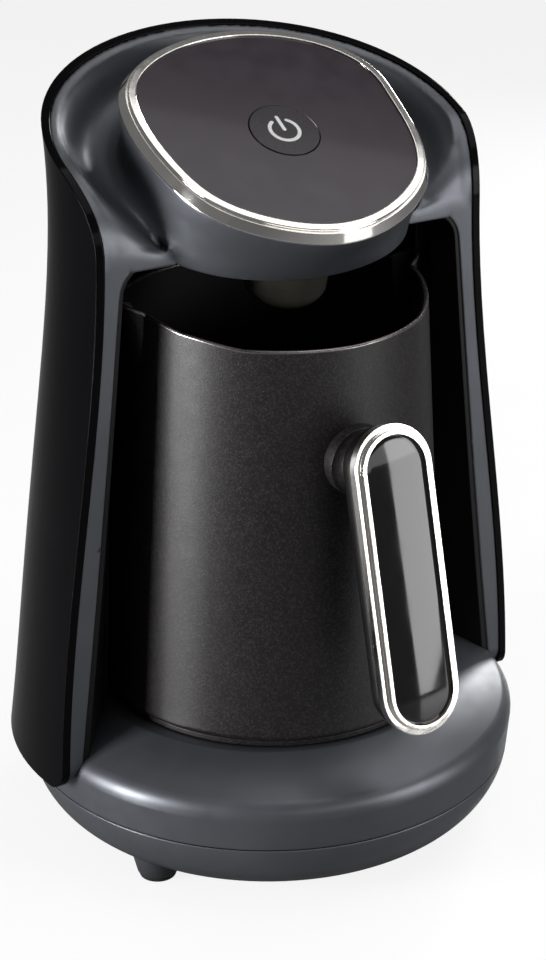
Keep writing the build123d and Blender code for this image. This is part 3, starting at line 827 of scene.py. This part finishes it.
def skin_rings(
    mesh: bmesh.types.BMesh, rings: Sequence[Sequence[Vector]], place: Matrix, closed: bool = False
) -> None:
    """Joins closed loops of points into a surface.

    Args:
        mesh: mesh that gets the faces.
        rings: loops with the same number of points each.
        place: matrix from the loops' millimetres to the frame's metres.
        closed: joins the last loop to the first as well.
    """
    loops = [[mesh.verts.new(place @ point) for point in ring] for ring in rings]
    pairs = list(zip(loops, loops[1:]))
    if closed:
        pairs.append((loops[-1], loops[0]))
    for low, high in pairs:
        for i in range(len(low)):
            j = (i + 1) % len(low)
            mesh.faces.new((low[i], low[j], high[j], high[i]))
    if not closed:
        mesh.faces.new(list(reversed(loops[0])))
        mesh.faces.new(loops[-1])


def turned_rings(profile: Sequence[Point], count: int) -> list[list[Vector]]:
    """Loops of a body of revolution about its own z axis.

    Args:
        profile: radius and height of each loop, from bottom to top.
        count: points in a loop.

    Returns:
        The loops.
    """
    turns = [2 * math.pi * i / count for i in range(count)]
    return [[Vector((r * math.cos(t), r * math.sin(t), z)) for t in turns] for r, z in profile]


@dataclass
class Assembly(ABC):
    """A group of pieces that are made and finished together."""

    def piece(
        self, name: str, mesh: bmesh.types.BMesh, body: Body, slot: Slot, finish: Finish
    ) -> bpy.types.Object:
        """Turns a mesh in the frame's metres into a named, dressed piece on its body.

        Args:
            name: the piece's name.
            mesh: the finished mesh, which is freed.
            body: body that the piece rides on.
            slot: record slot of its finish; not used.
            finish: its finish.

        Returns:
            The new piece.
        """
        bmesh.ops.remove_doubles(mesh, verts=mesh.verts, dist=1e-7)
        bmesh.ops.recalc_face_normals(mesh, faces=mesh.faces)
        for face in mesh.faces:
            face.smooth = True
        data = bpy.data.meshes.new(name)
        mesh.to_mesh(data)
        mesh.free()
        data.set_sharp_from_angle(angle=math.radians(38))
        made = placed(name, data)
        finish.coat(made)
        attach(made, body.value)
        log.info("piece %s: %d faces on %s", name, len(data.polygons), body.value)
        return made

    def dress(self, finish: Finish, *nodes: str) -> None:
        """Gives carried-over nodes a finish.

        Args:
            finish: the finish.
            nodes: their names.
        """
        for node in nodes:
            finish.coat(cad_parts[node])
            log.info("node %s: %s", node, type(finish).__name__)

    @abstractmethod
    def build(self) -> None:
        """Makes and dresses the group."""

    def screw_set(
        self,
        name: str,
        node: str,
        places: Sequence[Matrix],
        length: float,
        head: Point = (2.8, 1.6),
    ) -> None:
        """Pan-head screws with cross recesses, in place of a node's plain ones.

        Args:
            name: the new piece's name.
            node: the node that it replaces.
            places: where each screw's seat is, its head upward, in mm.
            length: the shank's length in mm.
            head: the head's radius and height in mm.
        """
        radius, height = head
        mesh = bmesh.new()
        for place in places:
            profile = [(0.02, -length), (1.0, -length), (1.4, -length + 0.8), (1.4, 0.0)]
            profile += [
                (radius - 0.2, 0.0), (radius, 0.3),
                (radius, height * 0.45), (radius * 0.86, height * 0.8),
            ]  # fmt: skip
            profile += [(radius * 0.62, height * 0.96), (radius * 0.5, height)]
            rings = turned_rings(profile, 32)
            # the recess: a cross whose arms fall to a point
            cross = (0.5, 0.5, 1.0), (0.46, 0.17, 0.98), (0.3, 0.12, 0.5), (0.04, 0.03, 0.15)
            for reach, waist, z in cross:
                ring = []
                for i in range(32):
                    turn = 2 * math.pi * i / 32
                    arm = max(0.0, math.cos(4 * turn)) ** 3
                    r = radius * (waist + (reach - waist) * arm)
                    ring.append(Vector((r * math.cos(turn), r * math.sin(turn), height * z)))
                rings.append(ring)
            skin_rings(mesh, rings, place)
        made = self.piece(name, mesh, Body.MACHINE, Slot.SCREW_STEEL, ZincScrewSteel())
        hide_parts(node)


# ---- sub-assemblies --------------------------------------------------------------------------
@dataclass
class BaseUnit(Assembly):
    """The round base: two lacquered halves on four rubber pads."""

    foot_x: float = 55.5
    foot_y: float = 27.0
    pad_r: float = 5.8
    pad_h: float = 1.8
    screw_x: float = 31.5
    screw_y: float = 54.5
    screw_seat_z: float = 11.8

    def build(self) -> None:
        """Makes and dresses the group."""
        self.dress(SLATE, "base_cover", "lower_shell")
        self.dress(MouldedRubber(), "cord_gland")
        self.pads()
        turn_over = Matrix.Rotation(math.pi, 4, "X")
        places = [
            upright(x, y, self.screw_seat_z) @ turn_over
            for x in (-self.screw_x, self.screw_x)
            for y in (-self.screw_y, self.screw_y)
        ]
        self.screw_set("base_screw_set", "base_screws", places, 24.0)

    def pads(self) -> None:
        """Rubber pads with a rounded edge and two grip rings on the sole."""
        mesh = bmesh.new()
        r, h = self.pad_r, self.pad_h
        profile = [
            (0.05, 0.35), (1.2, 0.35), (1.3, 0.0), (2.3, 0.0),
            (2.4, 0.35), (3.4, 0.35), (3.5, 0.0),
        ]  # fmt: skip
        profile += [(r - 0.5, 0.0), (r - 0.15, 0.15), (r, 0.5), (r, h), (0.05, h)]
        for x in (-self.foot_x, self.foot_x):
            for y in (-self.foot_y, self.foot_y):
                skin_rings(mesh, turned_rings(profile, 48), upright(x, y, 0))
        made = self.piece("ribbed_foot_pads", mesh, Body.MACHINE, Slot.RUBBER, MouldedRubber())
        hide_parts("foot_pads")


@dataclass
class Heater(Assembly):
    """The heated plate and what hangs under it."""

    def build(self) -> None:
        """Makes and dresses the group."""
        self.dress(CastAluminium(), "hotplate")
        self.dress(RedSilicone(), "hotplate_seal")
        self.dress(TurnedSteel(), "heater_carrier", "heating_element")
        self.dress(ZincScrewSteel(), "carrier_screws")
        self.dress(BLACK_EPOXY, "thermostat")
        self.dress(WHITE_NYLON, "thermal_fuse")


@dataclass
class Electronics(Assembly):
    """Power board in the base, cable to the head, and the head's boards."""

    def build(self) -> None:
        """Makes and dresses the group."""
        self.dress(SolderMask(), "power_board", "control_board", "sensor_board")
        self.dress(ZincScrewSteel(), "power_board_screws", "control_board_screws")
        self.dress(BLACK_EPOXY, "relay", "buzzer", "tact_switch")
        self.dress(BLACK_EPOXY, "ribbon_socket", "ribbon_plug", "level_sensor")
        self.dress(WHITE_NYLON, "filter_capacitor", "terminal_block")
        self.dress(RibbonVinyl(), "ribbon_cable")
        self.dress(ClearLed(), "status_leds")
        self.dress(BLACK_EPOXY, "switch_plunger")


@dataclass
class HoodUnit(Assembly):
    """Outer shell, lacquered hood, pot bay and the head's underside."""

    screw_x: float = 35.5
    screw_v: tuple[float, float] = (-14.5, 19.0)
    cell: float = 0.8
    rounds: int = 130
    light_rounds: int = 12
    light_pull: float = 0.55
    stride: float = 0.6
    margin: int = 6
    patch_m: float = 0.0024
    step_off_m: float = 0.0012
    sight_m: float = 0.6
    least_slope: float = 0.05
    rises: tuple[float, ...] = (-0.6, -0.15, 0.3, 0.8, 1.3)
    shell_blend: Point = (4.0, 0.4)
    plane_blend: Point = (5.0, 0.3)
    covers: tuple[str, ...] = (
        "hood", "outer_shell", "bay_liner", "head_underside",
        "top_panel", "chrome_ring", "base_cover",
    )  # fmt: skip
    sharp: float = 0.5
    edge_pull: float = 1.05
    ring_drop: float = 3.4
    shell_t: float = 2.5
    cone: tuple[tuple[float, float, float, float], ...] = (
        (30.0, 84.3, 84.0, 0.0), (70.0, 81.2, 78.8, -3.0), (120.0, 74.9, 73.2, -2.2),
        (185.0, 68.1, 61.2, -1.3), (252.0, 73.0, 55.6, -1.9),
    )  # fmt: skip

    def build(self) -> None:
        """Makes and dresses the group."""
        self.dress(PIANO, "outer_shell")
        self.soft_hood()
        self.dress(MATT, "bay_liner", "head_underside")
        self.dress(SmokedPolycarbonate(), "sensor_lens")
        face_down = tipped(UNDER_Z, UNDER_TILT) @ Matrix.Rotation(math.pi, 4, "X")
        places = [
            face_down @ Matrix.Translation((x, -v, 0.0))
            for x in (-self.screw_x, self.screw_x)
            for v in self.screw_v
        ]
        self.screw_set("underside_screw_set", "underside_screws", places, 8.0)

    def soft_hood(self) -> None:
        """The hood with the soft blends of the real moulding, where the solid has plain corners."""
        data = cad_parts["hood"].data.copy()
        rough = placed("hood_blank", data)
        even = rough.modifiers.new("even_mesh", "REMESH")
        even.mode, even.voxel_size = "VOXEL", self.cell * MM
        seen = rough.evaluated_get(bpy.context.evaluated_depsgraph_get())
        fine = bpy.data.meshes.new_from_object(seen)
        bpy.data.objects.remove(rough)
        points = np.empty(len(fine.vertices) * 3)
        fine.vertices.foreach_get("co", points)
        points = points.reshape(-1, 3)
        facing = np.array([tuple(vert.normal) for vert in fine.vertices])
        kept = self.in_open_air(points, facing)
        ends = np.array([tuple(edge.vertices) for edge in fine.edges])
        for _ in range(self.margin):
            reached = kept[ends].any(axis=1)
            kept[ends[reached].ravel()] = True
        mesh = bmesh.new()
        mesh.from_mesh(fine)
        mesh.verts.ensure_lookup_table()
        hidden = [mesh.verts[i] for i in np.flatnonzero(~kept)]
        bmesh.ops.delete(mesh, geom=hidden, context="VERTS")
        mesh.verts.index_update()
        self.relax(mesh)
        made = self.piece("hood_moulding", mesh, Body.MACHINE, Slot.GREY_PLASTIC, SLATE)
        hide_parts("hood")

    def in_open_air(self, points: np.ndarray, facing: np.ndarray) -> np.ndarray:
        """Finds the points from which some straight way leads out of the closed machine.

        Args:
            points: surface points in the frame's metres.
            facing: their surface directions.

        Returns:
            True for each point that can be seen from outside.
        """
        corners: list[Vector] = []
        faces: list[tuple[int, ...]] = []
        for name in self.covers:
            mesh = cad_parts[name].data
            start = len(corners)
            corners += [vert.co.copy() for vert in mesh.vertices]
            faces += [tuple(start + i for i in face.vertices) for face in mesh.polygons]
        tree = BVHTree.FromPolygons(corners, faces)
        ways = [
            heading(turn, math.degrees(rise)) for rise in self.rises for turn in range(0, 360, 30)
        ]
        known: dict[tuple[int, ...], bool] = {}
        result = np.zeros(len(points), bool)
        patches = np.floor(points / self.patch_m).astype(int)
        octants = np.round(facing * 1.2).astype(int)
        for i, key in enumerate(zip(*patches.T, *octants.T)):
            if key not in known:
                normal = Vector(facing[i])
                start = Vector(points[i]) + normal * self.step_off_m
                outward = (way for way in ways if way.dot(normal) > self.least_slope)
                known[key] = any(
                    tree.ray_cast(start, way, self.sight_m)[0] is None for way in outward
                )
            result[i] = known[key]
        return result

    def relax(self, mesh: bmesh.types.BMesh) -> None:
        """Rolls the hollow, the front wall and the head's root into one soft form.

        Args:
            mesh: the even mesh, in the frame's metres, which is changed.
        """
        points = np.array([tuple(vert.co) for vert in mesh.verts])
        ends = np.array([[vert.index for vert in edge.verts] for edge in mesh.edges])
        rim = np.zeros(len(points), bool)
        rim[[vert.index for vert in mesh.verts if vert.is_boundary]] = True
        exact = self.on_solid(points)
        share = self.softness(points / MM - np.array([0, AXIS_Y, 0]))
        share[rim] = 0.0
        near, far = (
            np.concatenate((ends[:, 0], ends[:, 1])),
            np.concatenate((ends[:, 1], ends[:, 0])),
        )
        count = np.bincount(near, minlength=len(points)).clip(1)
        light = np.where(rim, 0.0, self.light_pull)
        for step in range(self.rounds):
            # some light passes everywhere clear the marks of the even mesh and round its edges
            pull = np.maximum(share, light) if step < self.light_rounds else share
            sums = [np.bincount(near, points[far, k], len(points)) for k in range(3)]
            mean = np.stack(sums, axis=1) / count[:, None]
            points = points + (mean - points) * pull[:, None] * self.stride
        points = points * share[:, None] + exact * (1 - share[:, None])
        for vert, point in zip(mesh.verts, points):
            vert.co = point

    def on_solid(self, points: np.ndarray) -> np.ndarray:
        """Moves the even mesh's points onto the solid hood, or onto an edge line that is near.

        Args:
            points: places in the frame's metres.

        Returns:
            The nearest places on the hood.
        """
        solid = bmesh.new()
        solid.from_mesh(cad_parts["hood"].data)
        bmesh.ops.remove_doubles(solid, verts=solid.verts[:], dist=1e-7)
        tree = BVHTree.FromBMesh(solid)
        line: list[Vector] = []
        for edge in solid.edges:
            if len(edge.link_faces) == 2 and edge.calc_face_angle(0.0) > self.sharp:
                first, last = (vert.co for vert in edge.verts)
                parts = max(1, round(edge.calc_length() / (0.15 * MM)))
                line += [first.lerp(last, k / parts) for k in range(parts + 1)]
        solid.free()
        edges = KDTree(len(line))
        for i, spot in enumerate(line):
            edges.insert(spot, i)
        edges.balance()
        result = np.empty_like(points)
        for i, point in enumerate(points):
            spot, _, far = edges.find(point)
            result[i] = (
                spot if far < self.edge_pull * self.cell * MM else tree.find_nearest(point)[0]
            )
        return result

    def from_shell(self, spots: np.ndarray) -> np.ndarray:
        """Distance of each spot from the inside of the outer shell.

        Args:
            spots: places in mm from the base axis.

        Returns:
            The distances in mm.
        """
        x, y, z = spots.T
        heights, *columns = (np.array(column) for column in zip(*self.cone))
        width, depth, middle = (np.interp(z, heights, column) for column in columns)
        ratio = np.hypot(x / (width - self.shell_t), (y - middle) / (depth - self.shell_t))
        return (1 - ratio) * 0.5 * (width + depth)

    def softness(self, spots: np.ndarray) -> np.ndarray:
        """How freely each spot of the hood is rounded off.

        Args:
            spots: places in mm from the base axis.

        Returns:
            0 where the solid's shape is kept, 1 where it is rounded most.
        """

        def over(plane_z: float, degrees: float) -> np.ndarray:
            """Distance above a plane tipped down to the front."""
            tilt = math.radians(degrees)
            return -spots[:, 1] * math.sin(tilt) + (spots[:, 2] - plane_z) * math.cos(tilt)

        below_ring = -over(PANEL_Z, PANEL_TILT) - self.ring_drop
        above_under = over(UNDER_Z, UNDER_TILT)
        blends = (
            (self.from_shell(spots), self.shell_blend),
            (below_ring, self.plane_blend),
            (above_under, self.plane_blend),
        )
        return np.min(
            [np.clip(far / width - start, 0, 1) for far, (width, start) in blends], axis=0
        )


@dataclass
class ControlPanel(Assembly):
    """Chrome ring, dark window and the power button with its symbol."""

    button_v: float = -11.6
    button_face: float = 0.2
    ring_r: float = 4.5
    stroke: float = 1.15
    gap: float = 33.0
    bar: tuple[float, float] = (0.1, 5.5)

    def build(self) -> None:
        """Makes and dresses the group."""
        self.dress(CHROME, "chrome_ring")
        self.dress(TintedAcrylic(), "top_panel")
        self.dress(ButtonAcrylic(), "power_button")
        self.dress(MATT, "panel_frame")
        self.symbol()

    def symbol(self) -> None:
        """Power symbol, a ring with a gap and a bar with round ends, 0.05 mm proud of the cap."""
        mesh = bmesh.new()
        half = self.stroke / 2
        steps = 40
        start, end = math.radians(90 + self.gap), math.radians(450 - self.gap)
        turns = [start + (end - start) * i / steps for i in range(steps + 1)]
        spine = [Vector((self.ring_r * math.cos(t), self.ring_r * math.sin(t), 0)) for t in turns]
        place = tipped(PANEL_Z, PANEL_TILT, self.button_face) @ Matrix.Translation(
            (0, self.button_v, 0)
        )
        for line in (spine, [Vector((0, y, 0)) for y in self.bar]):
            skin_rings(mesh, self.stroke_along(line, half), place)
        self.piece("power_symbol", mesh, Body.BUTTON, Slot.LED_CLEAR, WhiteLightWindow())

    def stroke_along(self, spine: Sequence[Vector], half: float) -> list[list[Vector]]:
        """Flat stroke with round ends and softly rounded sides.

        Args:
            spine: the stroke's middle line, in the cap's own mm.
            half: half its width in mm.

        Returns:
            Its loops, from bottom to top.
        """
        sides: list[Vector] = []
        for i in range(len(spine)):
            way = (spine[min(i + 1, len(spine) - 1)] - spine[max(i - 1, 0)]).normalized()
            sides.append(Vector((-way.y, way.x, 0)))
        outline = list(zip(spine, sides))
        outline += self.round_end(spine[-1], (spine[-1] - spine[-2]).normalized(), sides[-1])
        outline += [(point, -side) for point, side in zip(reversed(spine), reversed(sides))]
        outline += self.round_end(spine[0], (spine[0] - spine[1]).normalized(), -sides[0])
        levels = ((half, -0.03), (half, 0.03), (half - 0.08, 0.05))
        return [
            [point + side * reach + Vector((0, 0, z)) for point, side in outline]
            for reach, z in levels
        ]

    def round_end(self, point: Vector, way: Vector, side: Vector) -> list[tuple[Vector, Vector]]:
        """Directions round the end of a stroke.

        Args:
            point: the spine's end.
            way: direction out of the stroke.
            side: direction of the outline's last side.

        Returns:
            The point with each direction.
        """
        turns = [math.pi * i / 8 for i in range(1, 8)]
        return [(point, side * math.cos(t) + way * math.sin(t)) for t in turns]


@dataclass
class CoffeePot(Assembly):
    """The coated pot with its two spouts and its polished rim."""

    r_low: float = 54.1
    r_high: float = 47.1
    z_low: float = 49.4
    z_rim: float = 172.3
    wall: float = 1.2
    spout_root: Triple = (43.0, 4.0, 7.0)
    spout_lip: Triple = (45.5, 6.4, 5.2)
    spout_root_z: float = 156.0
    spout_lip_z: float = 182.0
    rim_points: tuple[Point, ...] = (
        (0.0, 172.3), (30.0, 172.9), (42.0, 175.4), (48.0, 178.6), (54.0, 181.5),
    )  # fmt: skip
    bead_r: float = 0.68

    def build(self) -> None:
        """Makes and dresses the group."""
        self.dress(PotLacquer(), "pot_body", "pot_base")
        self.rim_bead()

    def rim_height(self, x: float) -> float:
        """Height of the wavy rim.

        Args:
            x: distance from the middle plane in mm.

        Returns:
            The height in mm.
        """
        reach = min(abs(x), self.rim_points[-1][0])
        for (x0, z0), (x1, z1) in zip(self.rim_points, self.rim_points[1:]):
            if reach <= x1:
                share = (reach - x0) / (x1 - x0)
                return (
                    z0
                    + (z1 - z0) * share * share * (3 - 2 * share) * 0.3
                    + (z1 - z0) * share * 0.7
                )
        return self.rim_points[-1][1]

    def reach(self, turn: float, z: float) -> float:
        """Distance from the pot's axis to its outside.

        Args:
            turn: direction in radians.
            z: height in mm.

        Returns:
            The distance in mm.
        """
        round_r = self.r_low + (self.r_high - self.r_low) * (z - self.z_low) / (
            self.z_rim - self.z_low
        )
        rise = (z - self.spout_root_z) / (self.spout_lip_z - self.spout_root_z)
        middle, a, b = (
            low + (high - low) * rise for low, high in zip(self.spout_root, self.spout_lip)
        )
        c, s = abs(math.cos(turn)), math.sin(turn)
        # where the ray leaves the spout's ellipse, if it meets it
        p, q = c * c / (a * a) + s * s / (b * b), -2 * middle * c / (a * a)
        rest = q * q - 4 * p * (middle * middle / (a * a) - 1)
        spout_r = (-q + math.sqrt(rest)) / (2 * p) if rest > 0 else 0.0
        return max(round_r, spout_r)

    def rim_bead(self) -> None:
        """Thin rolled edge that follows the wavy rim round both spouts."""
        mesh = bmesh.new()
        count = 360
        spine = []
        for i in range(count):
            turn = 2 * math.pi * i / count
            z = self.z_rim
            for _ in range(6):
                r = self.reach(turn, z) - self.wall / 2
                z = self.rim_height(r * math.cos(turn))
            spine.append(Vector((r * math.cos(turn), r * math.sin(turn), z - 0.5)))
        rings = []
        for i, point in enumerate(spine):
            way = (spine[(i + 1) % count] - spine[i - 1]).normalized()
            across = way.cross(Vector((0, 0, 1))).normalized()
            up = across.cross(way).normalized()
            turns = [2 * math.pi * k / 10 for k in range(10)]
            rings.append(
                [point + (across * math.cos(t) + up * math.sin(t)) * self.bead_r for t in turns]
            )
        skin_rings(mesh, rings, upright(0, POT_Y, 0), closed=True)
        self.piece("rolled_rim", mesh, Body.POT, Slot.POT_COATING, RubbedRim())


@dataclass
class PotHandle(Assembly):
    """Bar handle: round root, matt bar, chrome frame and a crowned gloss insert."""

    grip_y: float = -81.85
    grip_z: float = 110.55
    tilt: float = 15.0
    length: float = 66.0
    insert_r: float = 9.9
    insert_t: float = 2.0
    edge_drop: float = 0.42
    crown: float = 0.3

    def build(self) -> None:
        """Makes and dresses the group."""
        self.dress(PotLacquer(), "handle_stub")
        self.dress(MATT, "grip_core")
        self.dress(CHROME, "grip_frame")
        self.dress(ZincScrewSteel(), "handle_screw")
        self.insert()

    def face(self) -> Matrix:
        """Matrix from the grip's front face, in mm, to the frame; its z axis points out."""
        turn = Matrix.Rotation(math.pi / 2 - math.radians(self.tilt), 4, "X")
        return upright(0, self.grip_y, self.grip_z) @ turn

    def insert(self) -> None:
        """Gloss insert whose face swells gently to its long middle line."""
        mesh = bmesh.new()
        steps, arc = 10, 20
        rings = []
        for reach, z in ((self.insert_r, -self.insert_t), (self.insert_r, -self.edge_drop - 0.25)):
            rings.append(self.slot(reach, z, arc))
        for i in range(1, steps + 1):
            share = 1 - i / steps * 0.99
            rise = self.crown - (self.crown + self.edge_drop) * share**2
            rings.append(self.slot((self.insert_r - 0.1) * share, rise, arc))
        skin_rings(mesh, rings, self.face())
        made = self.piece("crowned_insert", mesh, Body.POT, Slot.BLACK_GLOSS, PolishedInsertAbs())
        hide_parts("grip_insert")

    def slot(self, radius: float, z: float, arc: int) -> list[Vector]:
        """Outline of a long slot.

        Args:
            radius: its half width in mm.
            z: its height over the face in mm.
            arc: steps in each round end.

        Returns:
            Its points.
        """
        points = []
        for end, first in ((1, 0.0), (-1, math.pi)):
            for i in range(arc + 1):
                turn = first + math.pi * i / arc
                points.append(
                    Vector((
                        radius * math.cos(turn), end * self.length / 2 + radius * math.sin(turn), z
                    ))  # fmt: skip
                )
        return points


# ---- floor, light and camera -----------------------------------------------------------------
@dataclass(frozen=True)
class Softbox:
    """A rectangular lamp that faces the object."""

    name: str
    azimuth: float
    elevation: float
    distance: float
    width: float
    height: float
    radiance: float

    def place(self, target: Vector) -> None:
        """Adds the lamp.

        Args:
            target: point that it faces.
        """
        lamp = bpy.data.lights.new(self.name, "AREA")
        lamp.shape = "RECTANGLE"
        lamp.size, lamp.size_y = self.width, self.height
        lamp.energy = self.radiance * math.pi * self.width * self.height
        made = placed(self.name, lamp)
        way = heading(self.azimuth, self.elevation)
        made.visible_camera = False
        made.location = target + way * self.distance
        made.rotation_mode = "QUATERNION"
        made.rotation_quaternion = (-way).to_track_quat("-Z", "Y")
        log.info("lamp %s", self.name)


@dataclass
class Studio:
    """Pale floor, soft lamps and a plain world."""

    target: Triple = (0.0, 0.0, 0.12)
    floor_size: float = 8.0
    floor_colour: str = "#f2f2f2"
    floor_shine: str = "#e9eaeb"
    floor_mirrored: str = "#858586"
    white_seen: float = 0.8
    white_strength: float = 1.06
    white_mirrored: float = 0.04
    world_colour: str = "#ffffff"
    world_strength: float = 0.15
    lamps: tuple[Softbox, ...] = (
        Softbox("overhead", 60.0, 66.0, 0.9, 0.8, 0.8, 1.7),
        Softbox("left_strip", -92.0, 3.0, 0.75, 0.2, 0.3, 40.0),
        Softbox("right_front", 37.5, 9.0, 0.95, 0.44, 0.5, 5.0),
        Softbox("right_back", 122.0, 18.0, 0.9, 0.12, 0.6, 14.0),
        Softbox("front_card", 12.0, 15.0, 1.0, 1.2, 0.24, 1.4),
    )

    def build(self) -> None:
        """Adds the floor, the lamps and the world."""
        self.floor()
        for lamp in self.lamps:
            lamp.place(Vector(self.target))
        world = bpy.data.worlds.new("plain_room")
        bpy.context.scene.world = world
        world.use_nodes = True
        back = world.node_tree.nodes["Background"]
        back.inputs["Color"].default_value = linear(self.world_colour)
        back.inputs["Strength"].default_value = self.world_strength

    def floor(self) -> None:
        """Pale floor that reads as white and keeps the object's shadow and a faint reflection."""
        mesh = bmesh.new()
        bmesh.ops.create_grid(mesh, x_segments=8, y_segments=8, size=self.floor_size / 2)
        data = bpy.data.meshes.new("floor")
        mesh.to_mesh(data)
        mesh.free()
        made = placed("floor", data)
        mix = Recipe("PaleFloor")
        tree = mix.tree
        path = add_node(tree, "LightPath")
        direct = add_node(
            tree, "Math", {"operation": "MAXIMUM"},
            {0: path.outputs["Is Camera Ray"], 1: path.outputs["Is Transmission Ray"]},
        )  # fmt: skip
        pale = mix.tint(mix.cloud(40.0), self.floor_colour, self.floor_shine)
        shade = add_node(
            tree, "BsdfPrincipled",
            inputs={
                "Base Color": mix.tint(direct.outputs[0], self.floor_mirrored, pale),
                "Roughness": mix.spread(mix.cloud(12.0), 0.2, 0.26),
                "Specular IOR Level": 0.3,
            },
        )  # fmt: skip
        white = add_node(
            tree, "Emission", inputs={"Color": linear("#ffffff"), "Strength": self.white_strength}
        )
        mirrored = add_node(
            tree, "Math", {"operation": "MULTIPLY"},
            {0: path.outputs["Is Glossy Ray"], 1: self.white_mirrored},
        )  # fmt: skip
        share = add_node(
            tree, "Math", {"operation": "MULTIPLY_ADD"},
            {0: direct.outputs[0], 1: self.white_seen, 2: mirrored.outputs[0]},
        )  # fmt: skip
        both = add_node(
            tree, "MixShader",
            inputs={0: share.outputs[0], 1: shade.outputs[0], 2: white.outputs[0]},
        )
        add_node(tree, "OutputMaterial", inputs={"Surface": both.outputs[0]})
        data.materials.append(mix.material)


@dataclass
class Viewpoint:
    """The camera, from the front left and a little above."""

    azimuth: float = -29.81
    elevation: float = 23.42
    roll: float = -0.14
    aim_z: float = 108.7
    distance: float = 0.7323
    focal_in_heights: float = 2325 / 960
    shift: Point = (0.0052, 0.0094)
    sensor: float = 36.0

    def build(self) -> None:
        """Adds the camera and makes it the scene's."""
        lens = bpy.data.cameras.new("viewpoint")
        camera = placed("viewpoint", lens)
        back = heading(self.azimuth, self.elevation)
        camera.location = Vector((0, AXIS_Y, self.aim_z)) * MM + back * self.distance
        camera.rotation_mode = "QUATERNION"
        turn = Matrix.Rotation(math.radians(self.roll), 3, "Z").to_quaternion()
        camera.rotation_quaternion = (-back).to_track_quat("-Z", "Y") @ turn
        lens.sensor_width = self.sensor
        lens.lens = self.focal_in_heights * self.sensor
        lens.shift_x, lens.shift_y = self.shift
        bpy.context.scene.camera = camera


def main() -> None:
    """Builds the whole scene."""
    logging.basicConfig(level=logging.INFO, format="%(message)s")
    Viewpoint().build()
    Studio().build()
    for kind in (BaseUnit, Heater, Electronics, HoodUnit, ControlPanel, CoffeePot, PotHandle):
        group = kind()
        group.build()
        log.info("built %s", type(group).__name__)
    bpy.context.scene.view_settings.view_transform = "Standard"


if __name__ == "__main__":
    main()
